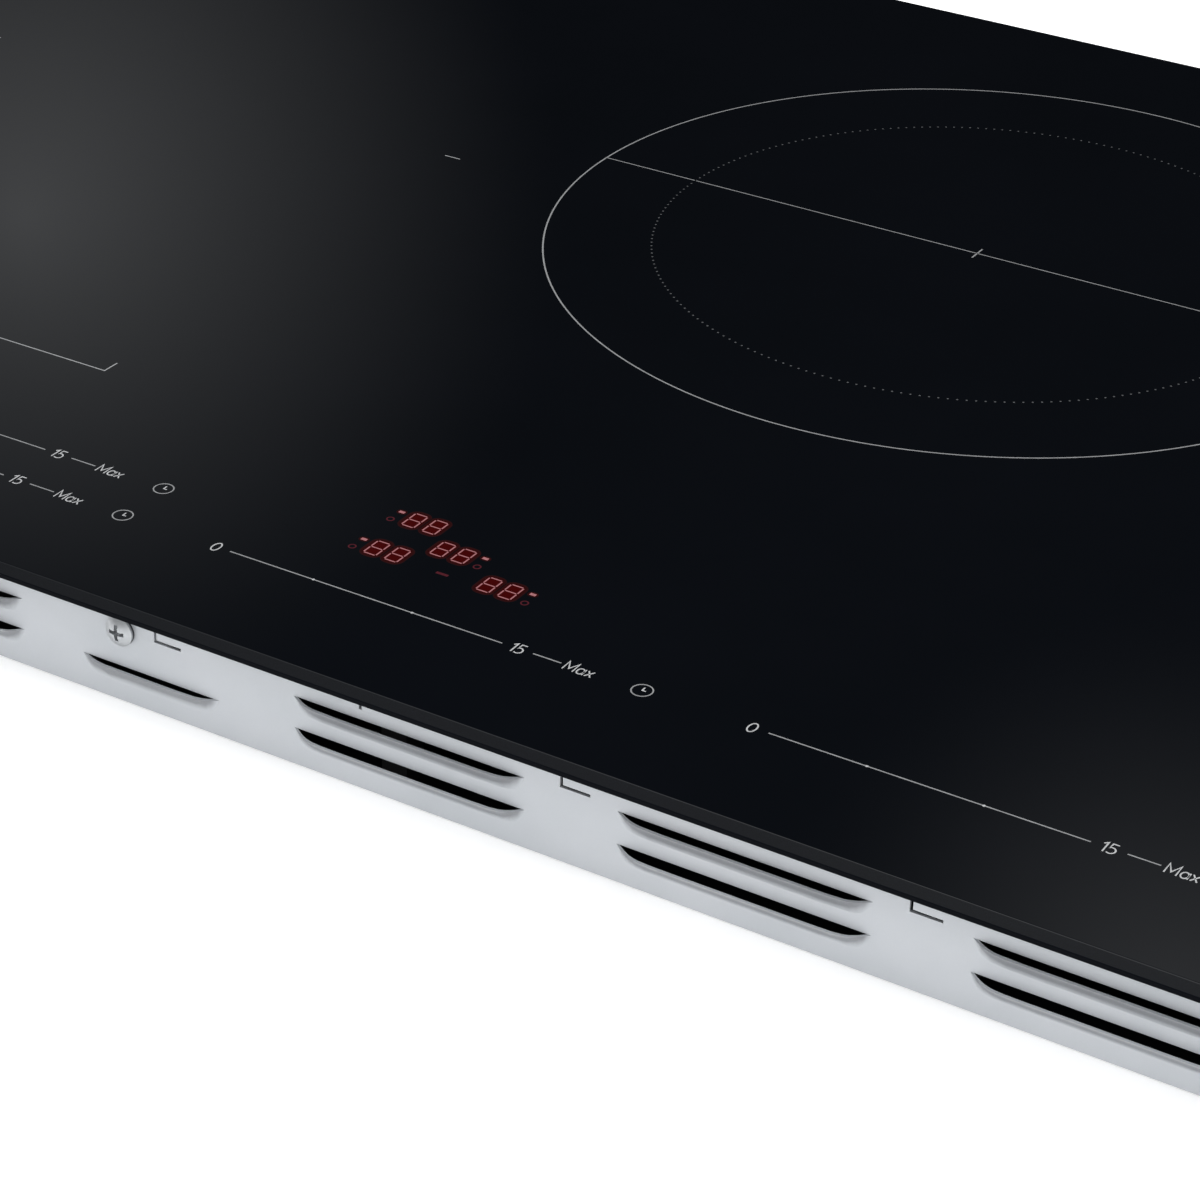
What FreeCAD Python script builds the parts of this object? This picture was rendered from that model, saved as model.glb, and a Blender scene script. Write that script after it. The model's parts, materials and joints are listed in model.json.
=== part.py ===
"""Built-in electric induction cooktop, 800 x 520 mm, as an assembly of separate pieces.

Frame: origin on the underside of the case below the middle of the glass, +X to the user's
right, +Y to the back, +Z up. All sizes are in millimetres.
"""
import FreeCAD, Part
import math
import os
import re
import Sketcher

SIZES = {
    # Ceramic glass plate
    "glass_width": 800, "glass_depth": 520, "glass_thick": 4, "glass_corner": 4,
    "bevel_run": 1.7, "bevel_drop": 2.8,
    # Foam seal that lies on the worktop, and the silicone bead that bonds the glass
    "seal_thick": 1, "seal_inset": 3, "seal_width": 11, "bond_inset": 1, "bond_width": 10,
    # Sheet-steel case below the glass
    "case_width": 760, "case_depth": 480, "case_wall": 39.6, "case_corner": 2.5, "sheet": 0.8,
    "rear_return": 3, "rear_reach": 12,
    # Folded frame that the glass is bonded to
    "flange_thick": 0.8, "flange_width": 13, "skirt_thick": 1, "skirt_gap": 0.2,
    "skirt_bottom": 27, "tab_bottom": 18, "tab_width": 16,
    # Frame screws
    "screw_height": 23, "screw_radius": 2, "screw_length": 7, "head_radius": 4.5, "head_tall": 2.6,
    # Pressed louvres in the case walls
    "louvre_long": 73.4, "louvre_short": 47.6, "louvre_drop": 6, "louvre_taper": 7,
    "high_depth": 3.6, "low_depth": 4.6, "short_depth": 2.75, "lip_slope": 0.31,
    "row_low": 11.65, "row_high": 21.6, "row_short": 11.3,
    # Slits of the earthing tabs in the front wall
    "slit_width": 0.9, "slit_run": 9.1, "slit_bottom": 22.7, "slit_top": 34,
    # Floor of the case
    "rib_width": 8, "rib_long": 250, "rib_tall": 1, "rib_y": -25,
    "floor_screw_head": 3, "floor_screw_radius": 1.5,
    "intake_rings": 4, "intake_first": 14, "intake_pitch": 7, "intake_slot": 4, "intake_bar": 3,
    # Worktop clamps
    "pocket_long": 56, "pocket_deep": 18, "pocket_tall": 16, "clamp_from_middle": 150,
    "clamp_long": 48, "clamp_wide": 12, "clamp_thick": 2, "clamp_bottom": 6.05, "clamp_lip": 2.4,
    "pivot_inset": 9, "pivot_end": 10, "pivot_radius": 2, "pivot_play": 0.07,
    "pivot_head_radius": 4, "pivot_head_tall": 3, "pivot_boss_tall": 4, "pivot_boss_radius": 4,
    # Heights of the coil stack below the glass
    "mica_thick": 1, "coil_thick": 5, "former_thick": 2, "ferrite_thick": 4, "plate_thick": 1.2,
    # Ferrite bars: a grid under each oval coil, spokes under the round ones
    "bar_columns": 5, "bar_pitch": 34, "bar_offset": 26, "bar_width": 14, "bar_long": 30,
    "spoke_bar_width": 12, "spoke_bar_start": 34, "spoke_bar_end": 8,
    "middle_bars": 10, "right_bars": 6,
    # Flex zone: four oval coils in a column
    "flex_x": -263, "flex_front": -146, "flex_coil_width": 196, "flex_coil_depth": 88,
    "flex_pitch": 94, "flex_hole_width": 116, "flex_hole_depth": 22, "flex_plate_width": 204,
    "flex_plate_depth": 382,
    # Round zones
    "middle_x": 21.1, "middle_y": 67.4, "inner_ring": 105, "outer_ring": 140,
    "right_x": 275, "right_y": -65, "right_ring": 80,
    "coil_eye": 20, "coil_gap": 3, "plate_margin": 14,
    "sensor_radius": 4.5, "eye_radius": 8, "lead_radius": 1.5, "lead_apart": 10,
    # Springs that push the coil plates up
    "spring_radius": 4, "spring_wire": 0.6, "spring_turns": 5, "eye_play": 0.5,
    # Cooling fans
    "fan_x": 317, "fan_y": 165, "fan_side": 80, "fan_tall": 20, "fan_bore": 38,
    "hub_radius": 16, "hub_wall": 2.4, "blade_tip": 36.5, "blade_count": 7, "blade_thick": 1.4,
    "blade_pitch": 38, "fan_pin": 1.5, "fan_pin_play": 0.05, "fan_hole_inset": 4.2,
    "motor_base": 2.4, "motor_tall": 14, "motor_gap": 1.2, "arm_width": 4, "arm_thick": 2,
    "rotor_rise": 3.4, "rotor_top_gap": 1.2, "pin_rise": 1.6, "pin_top_gap": 0.4,
    # Power boards and what is on them
    "board_thick": 1.6, "board_bottom": 6, "board_x": 270, "board_width": 160,
    "board_front": -150, "board_depth": 250, "sink_x": 321, "sink_width": 50, "sink_depth": 230,
    "sink_front": -140, "sink_tall": 16, "fin_count": 9, "fin_thick": 1.6, "sink_base": 3,
    "duct_x": 317, "duct_width": 64, "duct_beyond": 5, "duct_top": 27, "duct_wall": 1.5,
    "device_thick": 4.6, "device_tall": 16, "device_gap": 2.5, "transistor_count": 4,
    "transistor_width": 16, "transistor_first": -110, "transistor_pitch": 40,
    "rectifier_width": 28, "rectifier_y": 65,
    "tank_count": 3, "tank_x": 210, "tank_first": -120, "tank_pitch": 34, "tank_width": 30,
    "tank_depth": 18, "tank_tall": 17,
    "bus_x": 215, "bus_y": 25, "bus_width": 40, "bus_depth": 26, "bus_tall": 18,
    "standoff_radius": 3, "standoff_inset": 5,
    # Mains filter board
    "filter_x": 30, "filter_width": 180, "filter_front": 40, "filter_depth": 185,
    "choke_y": 185, "choke_ring": 11, "choke_section": 5,
    "relay_y": 130, "relay_width": 20, "relay_depth": 16, "relay_tall": 15,
    # Terminal block and earth stud beside the inlet
    "terminal_x": 155, "terminal_y": 208, "terminal_width": 56, "terminal_depth": 24,
    "terminal_tall": 17, "terminal_count": 5, "terminal_pitch": 11, "terminal_floor": 8,
    "terminal_well": 3, "terminal_screw": 2.6, "terminal_screw_tall": 6,
    "wire_y": 222, "wire_z": 5, "wire_width": 7, "wire_depth": 12, "wire_tall": 6,
    "earth_x": 204, "earth_y": 210, "earth_radius": 2, "earth_tall": 10,
    "nut_radius": 4, "nut_tall": 3.2,
    # Control strip below the printed sliders
    "control_width": 500, "control_front": -236, "control_depth": 68, "control_bottom": 30,
    "control_rim": 5.6, "control_wall": 1.5, "control_board_bottom": 33.8,
    "slider_pitch": 167.1, "slider_y": -220.1, "rear_slider_y": -201.8,
    "pad_count": 8, "pad_width": 12, "pad_depth": 7, "pad_pitch": 14, "pad_first": -56,
    "timer_offset": 70.4, "timer_radius": 4, "led_width": 14.6, "led_depth": 8.8,
    "ledge_width": 8, "leg_side": 8, "leg_inset": 6,
    # Mains inlet in the back wall
    "inlet_x": 170, "inlet_z": 15, "inlet_hole": 8, "inlet_bore": 5.5, "inlet_flange": 11,
    "inlet_lip": 2,
}

UP = FreeCAD.Vector(0, 0, 1)
FRONT, RIGHT, BACK, LEFT = 0, 90, 180, 270

# Louvre groups of the front wall: middle of each group along X
LONG_LOUVRES = [-257.3, -157.3, 8.4, 109.1, 209.1, 309.1]
SHORT_LOUVRE = -76.6
BACK_LOUVRES = [-300, 0, 100, 200, 300]
EARTH_SLITS = [-74.7, 55.5, 155.4]
SHORT_SLIT = -6.9
FLOOR_RIBS = [-270, -140, 30, 140, 270]
# Frame screws: wall and place along it
FRAME_SCREWS = [
    (FRONT, -86), (FRONT, -340), (FRONT, 352),
    (BACK, -250), (BACK, -50), (BACK, 250),
    (RIGHT, -60), (RIGHT, 60), (LEFT, -60), (LEFT, 60),
]
# Middle of each two-digit display
LED_PLACES = [(-27.3, -178.5), (-27.3, -196.8), (-11.9, -187.6), (9.2, -196.8)]
# Springs under the corners of the three shield plates
SPRING_PLACES = [
    (-356, -120), (-174, -120), (-356, 219), (-174, 219),
    (-112, -66), (158, -66), (-112, 180), (158, 180),
    (185, -140), (355, -140), (185, 12), (355, 12),
]
CHOKES_X = [-30, 10, 50]
RELAYS_X = [-30, 0, 60, 90]
LEDGES_X = [-235, -80, 80, 235]
LEGS_X = [-166, 0, 166]

doc = FreeCAD.newDocument("InductionCooktop")
sheet = doc.addObject("Spreadsheet::Sheet", "Sizes")
kept = []


def fill_sheet():
    """Write every driving size to the sheet as a plain number with an alias."""
    for row, (name, value) in enumerate(SIZES.items(), start=1):
        sheet.set(f"A{row}", name)
        sheet.set(f"B{row}", str(value))
        sheet.setAlias(f"B{row}", name)
    doc.recompute()


def size(name):
    """The value of one size, read from the sheet."""
    return float(sheet.get(name))


def on_sheet(text):
    """Turn the bare size names in an expression into references to the sheet."""
    return re.sub(r"[a-z][a-z_]+", lambda word: "Sizes." + word.group(), str(text))


def bind(item, **texts):
    """Bind properties of an object to expressions of sheet sizes."""
    for name, text in texts.items():
        item.setExpression(name, on_sheet(text))


def place(item, x=0, y=0, z=0):
    """Bind an object's position to three expressions."""
    for axis, text in zip("xyz", (x, y, z)):
        item.setExpression(f"Placement.Base.{axis}", on_sheet(text))
    return item


def keep(item, label):
    """Name a finished sub-part and list it for export."""
    item.Label = label
    kept.append(item)
    return item


# ---------------------------------------------------------------- building blocks

def block(low, sides):
    """A box from its low corner and its three sides, all expressions."""
    box = doc.addObject("Part::Box", "Block")
    bind(box, Length=sides[0], Width=sides[1], Height=sides[2])
    return place(box, *low)


def middle_block(x, y, z, width, depth, height):
    """A box centred on x and y, standing on z."""
    return block((f"{x} - ({width})/2", f"{y} - ({depth})/2", z), (width, depth, height))


def disc(x, y, z, radius, height):
    """An upright cylinder standing on z."""
    item = doc.addObject("Part::Cylinder", "Disc")
    bind(item, Radius=radius, Height=height)
    return place(item, x, y, z)


def fuse(items):
    """Join several objects into one solid."""
    if len(items) == 1:
        return items[0]
    joined = doc.addObject("Part::MultiFuse", "Joined")
    joined.Shapes = items
    return joined


def cut(base, tools):
    """Cut a list of tools from a base."""
    result = doc.addObject("Part::Cut", "Cut")
    result.Base = base
    result.Tool = fuse(tools)
    return result


def group(items):
    """Hold several separate solids as one object."""
    held = doc.addObject("Part::Compound", "Group")
    held.Links = items
    return held


def solid_feature(name, shape):
    """A feature whose shape is made in code from sizes of the sheet."""
    item = doc.addObject("Part::Feature", name)
    item.Shape = shape
    return item


def on_wall(item, wall, along, height, inward=0):
    """Set a piece built for the front wall on any wall of the case.

    The piece's own frame has x along the wall, -y outwards and z up, with y = 0 on the
    wall's outer face.
    """
    reach = size("case_depth") / 2 if wall in (FRONT, BACK) else size("case_width") / 2
    rotation = FreeCAD.Rotation(UP, wall)
    item.Placement = FreeCAD.Placement(
        rotation.multVec(FreeCAD.Vector(along, inward - reach, height)), rotation)
    return item


def origin_plane(body, role):
    """One of a body's own origin planes, found by its role."""
    return next(item for item in body.Origin.OriginFeatures if item.Role == role)


def new_sketch(body, name, role="XY_Plane"):
    """A sketch on an origin plane of its own body."""
    sketch = body.newObject("Sketcher::SketchObject", name)
    sketch.AttachmentSupport = [(origin_plane(body, role), "")]
    sketch.MapMode = "FlatFace"
    return sketch


def draw_rectangle(sketch, width, depth, x=0, y=0):
    """A rectangle centred on x, y with its sides bound to expressions."""
    corners = [(-1, -1), (1, -1), (1, 1), (-1, 1)]
    first = sketch.GeometryCount
    for (ax, ay), (bx, by) in zip(corners, corners[1:] + corners[:1]):
        sketch.addGeometry(Part.LineSegment(
            FreeCAD.Vector(10 * ax, 10 * ay, 0), FreeCAD.Vector(10 * bx, 10 * by, 0)), False)
    for side in range(4):
        following = first + (side + 1) % 4
        sketch.addConstraint(Sketcher.Constraint("Coincident", first + side, 2, following, 1))
        direction = "Vertical" if side % 2 else "Horizontal"
        sketch.addConstraint(Sketcher.Constraint(direction, first + side))
    for kind, geometry, text in (
            ("DistanceX", first, f"{x} - ({width})/2"), ("DistanceX", first + 1, f"{x} + ({width})/2"),
            ("DistanceY", first, f"{y} - ({depth})/2"), ("DistanceY", first + 2, f"{y} + ({depth})/2")):
        sign = -1.0 if "- (" in text else 1.0
        index = sketch.addConstraint(Sketcher.Constraint(kind, -1, 1, geometry, 1, 10 * sign))
        sketch.setExpression(f"Constraints[{index}]", on_sheet(text))


def padded(name, draw, length, z=0):
    """A body with one sketch, drawn by a function, padded upwards from z."""
    body = doc.addObject("PartDesign::Body", name)
    sketch = new_sketch(body, name + "Sketch")
    draw(sketch)
    pad = body.newObject("PartDesign::Pad", name + "Pad")
    pad.Profile = sketch
    bind(pad, Length=length)
    sketch.Visibility = False
    place(body, 0, 0, z)
    return body


def upright_edges(shape):
    """Names of the straight edges that run along Z."""
    names = []
    for number, edge in enumerate(shape.Edges, start=1):
        tangent = edge.tangentAt(edge.FirstParameter)
        if isinstance(edge.Curve, Part.Line) and abs(tangent.z) > 0.999:
            names.append(f"Edge{number}")
    return names


def top_edges(shape):
    """Names of the edges that lie in the top plane of a shape."""
    top = shape.BoundBox.ZMax
    return [f"Edge{number}" for number, edge in enumerate(shape.Edges, start=1)
            if edge.BoundBox.ZMin > top - 1e-6]


# ---------------------------------------------------------------- levels, as expressions

FLANGE_Z = "case_wall"
SEAL_Z = "case_wall + flange_thick"
GLASS_Z = "case_wall + flange_thick + seal_thick"
MICA_Z = f"{GLASS_Z} - mica_thick"
COIL_Z = f"{MICA_Z} - coil_thick"
FORMER_Z = f"{COIL_Z} - former_thick"
FERRITE_Z = f"{FORMER_Z} - ferrite_thick"
PLATE_Z = f"{FERRITE_Z} - plate_thick"
BOARD_TOP = "board_bottom + board_thick"


# ---------------------------------------------------------------- glass, seal and frame

def build_glass():
    """The ceramic glass plate: rounded corners and a bevelled upper edge."""
    body = padded("Glass", lambda s: draw_rectangle(s, "glass_width", "glass_depth"),
                  "glass_thick", GLASS_Z)
    doc.recompute()
    plate = body.Tip
    corners = body.newObject("PartDesign::Fillet", "GlassCorners")
    corners.Base = (plate, upright_edges(plate.Shape))
    bind(corners, Radius="glass_corner")
    doc.recompute()
    bevel = body.newObject("PartDesign::Chamfer", "GlassBevel")
    bevel.Base = (corners, top_edges(corners.Shape))
    bevel.ChamferType = "Two distances"
    bind(bevel, Size="bevel_drop", Size2="bevel_run")
    keep(body, "glass_top")


def build_rings():
    """The foam seal on the worktop and the silicone bead between glass and frame."""
    def draw_seal(sketch):
        draw_rectangle(sketch, "glass_width - 2*seal_inset", "glass_depth - 2*seal_inset")
        inset = "2*(seal_inset + seal_width)"
        draw_rectangle(sketch, f"glass_width - {inset}", f"glass_depth - {inset}")

    def draw_bond(sketch):
        draw_rectangle(sketch, "case_width - 2*bond_inset", "case_depth - 2*bond_inset")
        inset = "2*(bond_inset + bond_width)"
        draw_rectangle(sketch, f"case_width - {inset}", f"case_depth - {inset}")

    keep(padded("Seal", draw_seal, "seal_thick", SEAL_Z), "worktop_seal")
    keep(padded("Bond", draw_bond, "seal_thick", SEAL_Z), "silicone_bond")


def frame_screw_holes(depth):
    """Round tools through the case wall and the frame tabs, one for each frame screw."""
    tools = []
    for wall, along in FRAME_SCREWS:
        tool = doc.addObject("Part::Cylinder", "ScrewHole")
        bind(tool, Radius="screw_radius", Height=depth)
        on_wall(tool, wall, along, size("screw_height"), -1)
        tool.Placement.Rotation = tool.Placement.Rotation.multiply(
            FreeCAD.Rotation(FreeCAD.Vector(1, 0, 0), -90))
        tools.append(tool)
    return tools


def build_frame():
    """The folded frame under the glass: flange, skirt inside the case and screw tabs."""
    def draw_flange(sketch):
        draw_rectangle(sketch, "case_width", "case_depth")
        draw_rectangle(sketch, "case_width - 2*flange_width", "case_depth - 2*flange_width")

    def draw_skirt(sketch):
        outer = "2*(sheet + skirt_gap)"
        draw_rectangle(sketch, f"case_width - {outer}", f"case_depth - {outer}")
        inner = "2*(sheet + skirt_gap + skirt_thick)"
        draw_rectangle(sketch, f"case_width - {inner}", f"case_depth - {inner}")

    parts = [padded("Flange", draw_flange, "flange_thick", FLANGE_Z),
             padded("Skirt", draw_skirt, "case_wall - skirt_bottom", "skirt_bottom")]
    for wall, along in FRAME_SCREWS:
        tab = doc.addObject("Part::Box", "ScrewTab")
        bind(tab, Length="tab_width", Width="skirt_thick", Height="skirt_bottom - tab_bottom + 1")
        on_wall(tab, wall, along, size("tab_bottom"), size("sheet") + size("skirt_gap"))
        tab.Placement.Base += tab.Placement.Rotation.multVec(
            FreeCAD.Vector(-size("tab_width") / 2, 0, 0))
        parts.append(tab)
    corners = [middle_block(f"{sx}*case_width/2", f"{sy}*case_depth/2", "tab_bottom",
                            "4*case_corner", "4*case_corner", "case_wall - tab_bottom")
               for sx in (-1, 1) for sy in (-1, 1)]
    keep(cut(fuse(parts), frame_screw_holes(6) + corners), "glass_frame")


def pan_head_screw(head_radius, head_tall, radius, length):
    """A cross-head screw along -Z below its head, with a domed head and a cross recess."""
    rise = head_tall * 0.55
    dome = (head_radius ** 2 + rise ** 2) / (2 * rise)
    rim = head_tall - rise
    head = Part.makeCylinder(head_radius, head_tall)
    ball = Part.makeSphere(dome, FreeCAD.Vector(0, 0, rim + rise - dome))
    head = head.common(ball)
    reach = head_radius * 1.1
    blade = head_radius * 0.26
    for angle in (0, 90):
        slot = Part.makeBox(reach, blade, head_tall, FreeCAD.Vector(-reach / 2, -blade / 2, rim * 0.7))
        slot.rotate(FreeCAD.Vector(0, 0, 0), UP, angle)
        head = head.cut(slot)
    shank = Part.makeCylinder(radius, length, FreeCAD.Vector(0, 0, -length))
    return head.fuse(shank).removeSplitter()


def build_frame_screws():
    """The screws that hold the case walls to the tabs of the glass frame."""
    screws = []
    for wall, along in FRAME_SCREWS:
        screw = solid_feature("FrameScrew", pan_head_screw(
            size("head_radius"), size("head_tall"), size("screw_radius"), size("screw_length")))
        on_wall(screw, wall, along, size("screw_height"))
        screw.Placement.Rotation = screw.Placement.Rotation.multiply(
            FreeCAD.Rotation(FreeCAD.Vector(1, 0, 0), 90))
        screws.append(screw)
    keep(group(screws), "frame_screws")


# ---------------------------------------------------------------- case

def scoop_shape(length, depth, shift, inward):
    """A pressed scoop below z = 0: deepest at its lip, running out into the wall below it.

    The shape is shifted inwards, and filled from there to a plane inside the wall.
    """
    drop = size("louvre_drop")
    taper = size("louvre_taper")
    buried = 0.15
    wires = []
    for level, share in ((0, 1.0), (0.3, 0.62), (0.65, 0.24), (1.0, 0.0)):
        reach = depth * share
        half = length / 2 - level * taper * 0.35
        side = [(-half, buried), (-half + taper * 0.35, buried - reach * 0.4),
                (-half + taper * 0.8, buried - reach), (-half + taper * 2, buried - reach)]
        outline = side + [(-x, y) for x, y in reversed(side)]
        curve = Part.BSplineCurve()
        curve.buildFromPoles([FreeCAD.Vector(x, y + shift, -level * drop) for x, y in outline])
        back = shift + buried
        corners = [FreeCAD.Vector(x, y, -level * drop)
                   for x, y in ((half, back), (half, inward), (-half, inward), (-half, back))]
        edges = [curve.toShape()]
        edges += [Part.makeLine(a, b) for a, b in zip(corners, corners[1:])]
        wires.append(Part.Wire(edges))
    return Part.makeLoft(wires, True, False)


def louvre_tools(length, depth):
    """Solid scoop with a sloping lip, and the hollow that leaves only its sheet."""
    sheet_thick = size("sheet")
    scoop = scoop_shape(length, depth, 0, sheet_thick)
    beyond = depth + 1
    profile = [(0, 0), (-beyond, -beyond * size("lip_slope")), (-beyond, 1), (0, 1), (0, 0)]
    above_lip = Part.Face(Part.makePolygon(
        [FreeCAD.Vector(-length / 2, y, z) for y, z in profile]))
    scoop = scoop.cut(above_lip.extrude(FreeCAD.Vector(length, 0, 0)))
    return scoop, scoop_shape(length, depth, sheet_thick, 3 * sheet_thick)


def louvre_places():
    """Wall, place along it, height, length and depth of every louvre."""
    places = []
    for height, depth in (("row_low", "low_depth"), ("row_high", "high_depth")):
        alongs = [(FRONT, along) for along in LONG_LOUVRES]
        alongs += [(BACK, along) for along in BACK_LOUVRES] + [(LEFT, 0), (RIGHT, 0)]
        places += [(wall, along, height, "louvre_long", depth) for wall, along in alongs]
    places.append((FRONT, SHORT_LOUVRE, "row_short", "louvre_short", "short_depth"))
    return places


def build_louvres():
    """Scoops to add to the walls and hollows to cut from them."""
    scoops = []
    hollows = []
    for wall, along, height, length, depth in louvre_places():
        scoop, hollow = louvre_tools(size(length), size(depth))
        scoops.append(on_wall(solid_feature("Scoop", scoop), wall, along, size(height)))
        hollows.append(on_wall(solid_feature("Hollow", hollow), wall, along, size(height)))
    return scoops, hollows


def slit_tools():
    """Thin cuts around the earthing tabs of the front wall."""
    depth = "3*sheet"
    tools = []
    for left in EARTH_SLITS:
        upright = doc.addObject("Part::Box", "SlitUpright")
        bind(upright, Length="slit_width", Width=depth, Height="slit_top - slit_bottom")
        level = doc.addObject("Part::Box", "SlitLevel")
        bind(level, Length="slit_run", Width=depth, Height="slit_width")
        for tool in (upright, level):
            tools.append(on_wall(tool, FRONT, left, size("slit_bottom"), -size("sheet")))
    short = doc.addObject("Part::Box", "ShortSlit")
    bind(short, Length="slit_width", Width=depth, Height="slit_top - slit_bottom - 2")
    tools.append(on_wall(short, FRONT, SHORT_SLIT, size("slit_bottom") + 2, -size("sheet")))
    return tools


def fan_intake(x):
    """Rings of slots in the floor of the case below one fan."""
    rings = []
    for number in range(int(size("intake_rings"))):
        radius = f"intake_first + {number}*intake_pitch"
        outer = disc(x, "fan_y", -1, radius, "4*sheet")
        inner = disc(x, "fan_y", -1, f"{radius} - intake_slot", "4*sheet")
        rings.append(cut(outer, [inner]))
    bars = []
    reach = size("fan_side")
    width = size("intake_bar")
    for angle in (0, 45, 90, 135):
        bar = Part.makeBox(reach, width, 4, FreeCAD.Vector(-reach / 2, -width / 2, -2))
        bar.rotate(FreeCAD.Vector(0, 0, 0), UP, angle)
        bars.append(place(solid_feature("IntakeBar", bar), x, "fan_y", 0))
    return cut(fuse(rings), bars)


def clamp_corners():
    """Name of each clamp, its side and whether it is at the front or the back."""
    for side_name, side in (("left", -1), ("right", 1)):
        for end_name, end in (("front", -1), ("rear", 1)):
            yield f"{end_name}_{side_name}", side, end


def pocket_blocks(side, end):
    """Outer block, hollow and screw boss of the recess that one clamp folds into."""
    y = f"{end}*clamp_from_middle"
    outer = middle_block(f"{side}*(case_width - pocket_deep - sheet)/2", y, 0,
                         "pocket_deep + sheet", "pocket_long + 2*sheet", "pocket_tall + sheet")
    hollow = middle_block(f"{side}*((case_width - pocket_deep)/2 + 1)", y, -1,
                          "pocket_deep + 2", "pocket_long", "pocket_tall + 1")
    boss = disc(pivot_x(side), pivot_y(end), "pocket_tall", "pivot_boss_radius",
                "sheet + pivot_boss_tall")
    hole = disc(pivot_x(side), pivot_y(end), "pocket_tall - 1", "pivot_radius",
                "sheet + pivot_boss_tall + 2")
    return outer, hollow, boss, hole


def pivot_x(side):
    """Place of a clamp's pivot across the cooktop."""
    return f"{side}*(case_width/2 - pivot_inset)"


def pivot_y(end):
    """Place of a clamp's pivot along the side wall."""
    return f"{end}*(clamp_from_middle + pocket_long/2 - pivot_end)"


def floor_ribs():
    """Long stiffening ribs pressed up into the floor: what they add and what they remove."""
    added = []
    removed = []
    for x in FLOOR_RIBS:
        added.append(middle_block(x, "rib_y", "sheet", "rib_width", "rib_long", "rib_tall"))
        removed.append(middle_block(x, "rib_y", -1, "rib_width - 2*sheet", "rib_long - 2*sheet",
                                    "1 + rib_tall"))
    return added, removed


def floor_screw(length):
    """A countersunk cross-head screw whose head is flush with the underside of the case."""
    radius = size("floor_screw_radius")
    shape = Part.makeCone(size("floor_screw_head"), radius, size("sheet"))
    shape = shape.fuse(Part.makeCylinder(radius, length))
    blade = radius * 0.45
    reach = size("floor_screw_head") * 1.3
    for angle in (0, 90):
        slot = Part.makeBox(reach, blade, size("sheet") / 2, FreeCAD.Vector(-reach / 2, -blade / 2, 0))
        slot.rotate(FreeCAD.Vector(0, 0, 0), UP, angle)
        shape = shape.cut(slot)
    return shape


def standoff_places():
    """Expressions for the middle of every stand-off below a board."""
    places = []
    for side in (-1, 1):
        for dx in (-1, 1):
            for dy in (0, 1, 2):
                places.append((f"{side}*board_x + {dx}*(board_width/2 - standoff_inset)",
                               f"board_front + standoff_inset"
                               f" + {dy}*(board_depth/2 - standoff_inset)"))
    for dx in (-1, 1):
        for dy in (0, 1):
            places.append((f"filter_x + {dx}*(filter_width/2 - standoff_inset)",
                           f"filter_front + standoff_inset"
                           f" + {dy}*(filter_depth - 2*standoff_inset)"))
    return places


def fan_screw_places():
    """Expressions for the corner holes of both fans."""
    corner = "(fan_side/2 - fan_hole_inset)"
    return [(f"{side}*fan_x + {sx}*{corner}", f"fan_y + {sy}*{corner}")
            for side in (-1, 1) for sx in (-1, 1) for sy in (-1, 1)]


def build_floor_screws():
    """Screws up through the floor of the case into the stand-offs and the fans."""
    short = floor_screw(size("board_bottom") - 1)
    long = floor_screw(size("sheet") + size("fan_tall") - 2)
    screws = [place(solid_feature("FloorScrew", short), x, y, 0) for x, y in standoff_places()]
    keep(group(screws), "board_screws")
    screws = [place(solid_feature("FanScrew", long), x, y, 0) for x, y in fan_screw_places()]
    keep(group(screws), "fan_screws")


def countersinks():
    """Conical holes in the floor of the case for the countersunk screws."""
    tools = []
    for x, y in standoff_places() + fan_screw_places():
        cone = doc.addObject("Part::Cone", "Countersink")
        bind(cone, Radius1="floor_screw_head", Radius2="floor_screw_radius", Height="sheet")
        tools.append(place(cone, x, y, 0))
    return tools


def build_case():
    """The sheet-steel case with louvres, slits, intakes, recesses and holes, in two pieces.

    The tray is the floor with the front and side walls. The rear panel is the back wall with
    short returns along the floor and the side walls, and butts against the tray.
    """
    outer = middle_block(0, 0, 0, "case_width", "case_depth", "case_wall")
    inner = middle_block(0, 0, "sheet", "case_width - 2*sheet", "case_depth - 2*sheet", "case_wall")
    scoops, hollows = build_louvres()
    corner = size("case_corner")
    added = [cut(rounded(outer, corner), [rounded(inner, corner - size("sheet"))])]
    removed = hollows + slit_tools() + frame_screw_holes(3)
    for _, side, end in clamp_corners():
        block_out, hollow, boss, hole = pocket_blocks(side, end)
        added += [block_out, boss]
        removed += [hollow, hole]
    removed += [fan_intake("-fan_x"), fan_intake("fan_x")] + countersinks()
    rib_tops, rib_hollows = floor_ribs()
    added += rib_tops
    removed += rib_hollows
    inlet = doc.addObject("Part::Cylinder", "InletHole")
    bind(inlet, Radius="inlet_hole", Height=6)
    on_wall(inlet, BACK, -size("inlet_x"), size("inlet_z"), -2)
    inlet.Placement.Rotation = inlet.Placement.Rotation.multiply(
        FreeCAD.Rotation(FreeCAD.Vector(1, 0, 0), -90))
    removed.append(inlet)
    case = cut(fuse(added + scoops), removed)
    behind = middle_block(0, "case_depth/2 - rear_return + rear_reach/2", 0, "case_width",
                          "rear_reach", "case_wall")
    tray = doc.addObject("Part::Cut", "Tray")
    tray.Base = case
    tray.Tool = behind
    keep(tray, "case_tray")
    panel = doc.addObject("Part::Common", "RearPanel")
    panel.Base = case
    panel.Tool = behind
    keep(panel, "rear_panel")


def rounded(box, radius):
    """A box with its four upright edges rounded."""
    doc.recompute()
    result = doc.addObject("Part::Fillet", "Rounded")
    result.Base = box
    numbers = [int(name[len("Edge"):]) for name in upright_edges(box.Shape)]
    result.Edges = [(number, radius, radius) for number in numbers]
    return result


# ---------------------------------------------------------------- worktop clamps

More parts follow.
